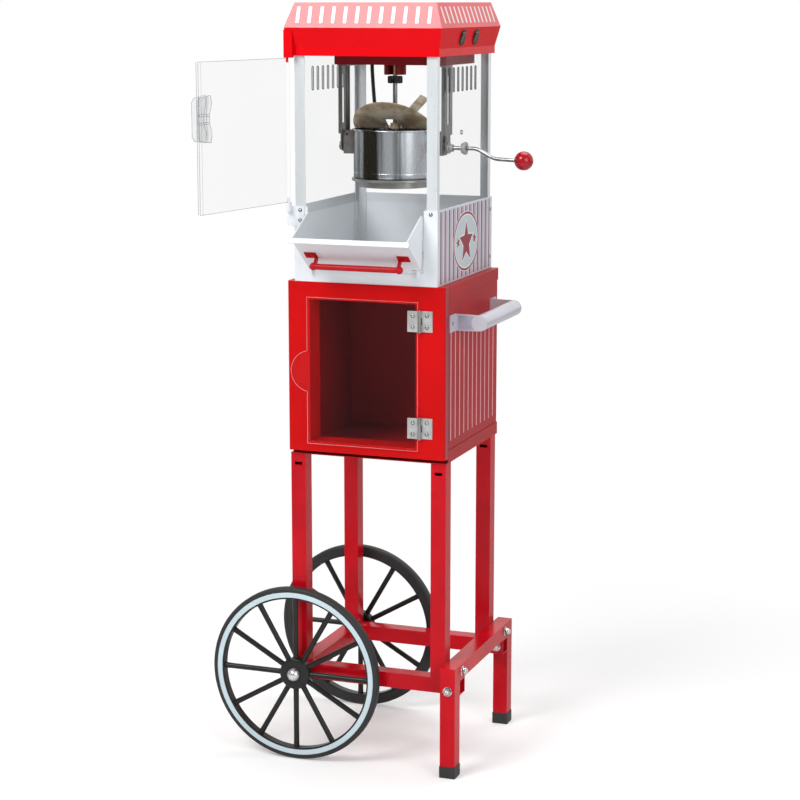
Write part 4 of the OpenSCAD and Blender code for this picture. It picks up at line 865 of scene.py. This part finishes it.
# clip-on handle of the glass door: its outline on both faces, its rib and its finger lines, drawn as lines of
# painted shade
LATCH_HALF, LATCH_FRONT, LATCH_BACK = 35, 3.05, -7.05
latch_in, latch_out, latch_z = DOOR_W - 30, DOOR_W + 5, (DOOR_LOW + DOOR_HIGH) / 2 + 28
shape = [(latch_in, -LATCH_HALF), (latch_in - 3, 12 - LATCH_HALF), (latch_in + 3, -6), (latch_in + 3, 6),
         (latch_in - 3, LATCH_HALF - 12), (latch_in, LATCH_HALF), (latch_out - 6, LATCH_HALF - 3),
         (latch_out, LATCH_HALF - 9), (latch_out, 9 - LATCH_HALF), (latch_out - 6, 3 - LATCH_HALF),
         (latch_in, -LATCH_HALF)]


def inset(x, z, by=0.5):
    """A point of the outline drawn in towards the middle of the handle."""
    return x + (by if x < DOOR_W - 15 else -by), z + (by if z < 0 else -by)


lines = []
for y in (LATCH_FRONT, LATCH_BACK):
    lines.append([(x, y, latch_z + z) for x, z in (inset(*p) for p in shape)])
for x in (latch_in + 11, DOOR_W + 0.6):
    lines.append([(x, LATCH_FRONT, latch_z - LATCH_HALF + 3), (x, LATCH_FRONT, latch_z + LATCH_HALF - 3)])
for z in (-7.5, -4.5, 4.5, 7.5):
    lines.append([(latch_in + 4, LATCH_FRONT, latch_z + z), (latch_out - 1, LATCH_FRONT, latch_z + z)])
wires("latch_outline", lines, "clear_edge_shade", "glass_door", swing, 0.36)

# edge of the cabinet's clear door, broken by its half-round finger tab, drawn as a painted glint
RIM_Y = -139.2
left, right, bottom, top = -97.6, 88.4, 527.4, 762.6
TAB_X, TAB_MID, TAB_R = -92, 644, 33.1
TAB_LOW, TAB_HIGH = 611, 677
tab = [(TAB_X + TAB_R * math.cos(math.radians(t)), RIM_Y, TAB_MID + TAB_R * math.sin(math.radians(t)))
       for t in range(102, 259, 4)]
wires("cabinet_door_rim",
      [[(left, RIM_Y, bottom), (left, RIM_Y, TAB_LOW)],
       [(left, RIM_Y, TAB_HIGH), (left, RIM_Y, top), (right, RIM_Y, top), (right, RIM_Y, bottom),
        (left, RIM_Y, bottom)], tab],
      "edge_glint", "lower_door", Matrix(), 0.38)


# ---------------------------------------------------------------- studio
def area(name, at, to, size, power):
    data = bpy.data.lights.new(name, "AREA")
    data.shape, data.size, data.energy = "SQUARE", size, power
    light = bpy.data.objects.new(name, data)
    light.location = at
    light.rotation_euler = (Vector(to) - Vector(at)).to_track_quat("-Z", "Y").to_euler()
    bpy.context.scene.collection.objects.link(light)


area("key", (-0.95, -2.1, 2.7), (0, 0, 0.9), 1.3, 62)
area("fill", (2.1, -1.6, 1.6), (0, 0, 0.7), 1.6, 26)
area("top", (0.2, 0.6, 3.1), (0, 0, 0.6), 1.6, 30)

# the world is plain white to the eye, dimmer for light, and dimmer still in front for reflections
WHITE = (1, 1, 1, 1)
AMBIENT, GLOSS_FRONT, GLOSS_BACK = 0.42, 0.30, 1.0
world = bpy.data.worlds.new("studio")
bpy.context.scene.world = world
world.use_nodes = True
n = Nodes(world.node_tree)
out = n.add("ShaderNodeOutputWorld")
ray = n.add("ShaderNodeLightPath")
way = n.add("ShaderNodeSeparateXYZ", Vector=n.add("ShaderNodeTexCoord").outputs["Generated"])
seen = n.math("MAXIMUM", ray.outputs["Is Camera Ray"], ray.outputs["Is Transmission Ray"])
dim = n.add("ShaderNodeBackground", Color=WHITE, Strength=AMBIENT)
gloss = n.add("ShaderNodeBackground", Color=WHITE,
              Strength=n.ranged(way.outputs["Y"], GLOSS_FRONT, GLOSS_BACK, -0.2, 0.4))
plain = n.add("ShaderNodeBackground", Color=WHITE, Strength=1.0)
lit = n.mixed(ray.outputs["Is Glossy Ray"], dim.outputs[0], gloss.outputs[0])
n.link(n.mixed(seen, lit, plain.outputs[0]), out.inputs["Surface"])

# the floor keeps the shadow near the object and runs out to plain white
FADE_START, FADE_END = 0.50, 1.15  # metres from the origin
FLOOR_GLOW, FLOOR_HALF, FLOOR_DROP = 0.24, 14, 0.0004
floor_mat = bpy.data.materials.new("floor_white")
floor_mat.use_nodes = True
n = Nodes(floor_mat.node_tree)
out = n.add("ShaderNodeOutputMaterial")
ray = n.add("ShaderNodeLightPath")
matte = n.add("ShaderNodeBsdfDiffuse", Color=(0.80, 0.80, 0.80, 1))
glow = n.add("ShaderNodeEmission", Color=WHITE,
             Strength=n.math("MULTIPLY", ray.outputs["Is Camera Ray"], FLOOR_GLOW))
both = n.tree.nodes.new("ShaderNodeAddShader")
n.link(matte.outputs[0], both.inputs[0])
n.link(glow.outputs[0], both.inputs[1])
far = n.tree.nodes.new("ShaderNodeVectorMath")
far.operation = "LENGTH"
n.link(n.add("ShaderNodeTexCoord").outputs["Object"], far.inputs[0])
fade = n.math("MULTIPLY", n.ranged(far.outputs["Value"], 0, 1, FADE_START, FADE_END),
              ray.outputs["Is Camera Ray"])
plain = n.add("ShaderNodeEmission", Color=WHITE, Strength=1.0)
n.link(n.mixed(fade, both.outputs[0], plain.outputs[0]), out.inputs["Surface"])

bm = bmesh.new()
bmesh.ops.create_grid(bm, x_segments=1, y_segments=1, size=FLOOR_HALF)
mesh = bpy.data.meshes.new("floor")
bm.to_mesh(mesh)
bm.free()
mesh.materials.append(floor_mat)
floor = bpy.data.objects.new("floor", mesh)
floor.location.z = -FLOOR_DROP
bpy.context.scene.collection.objects.link(floor)
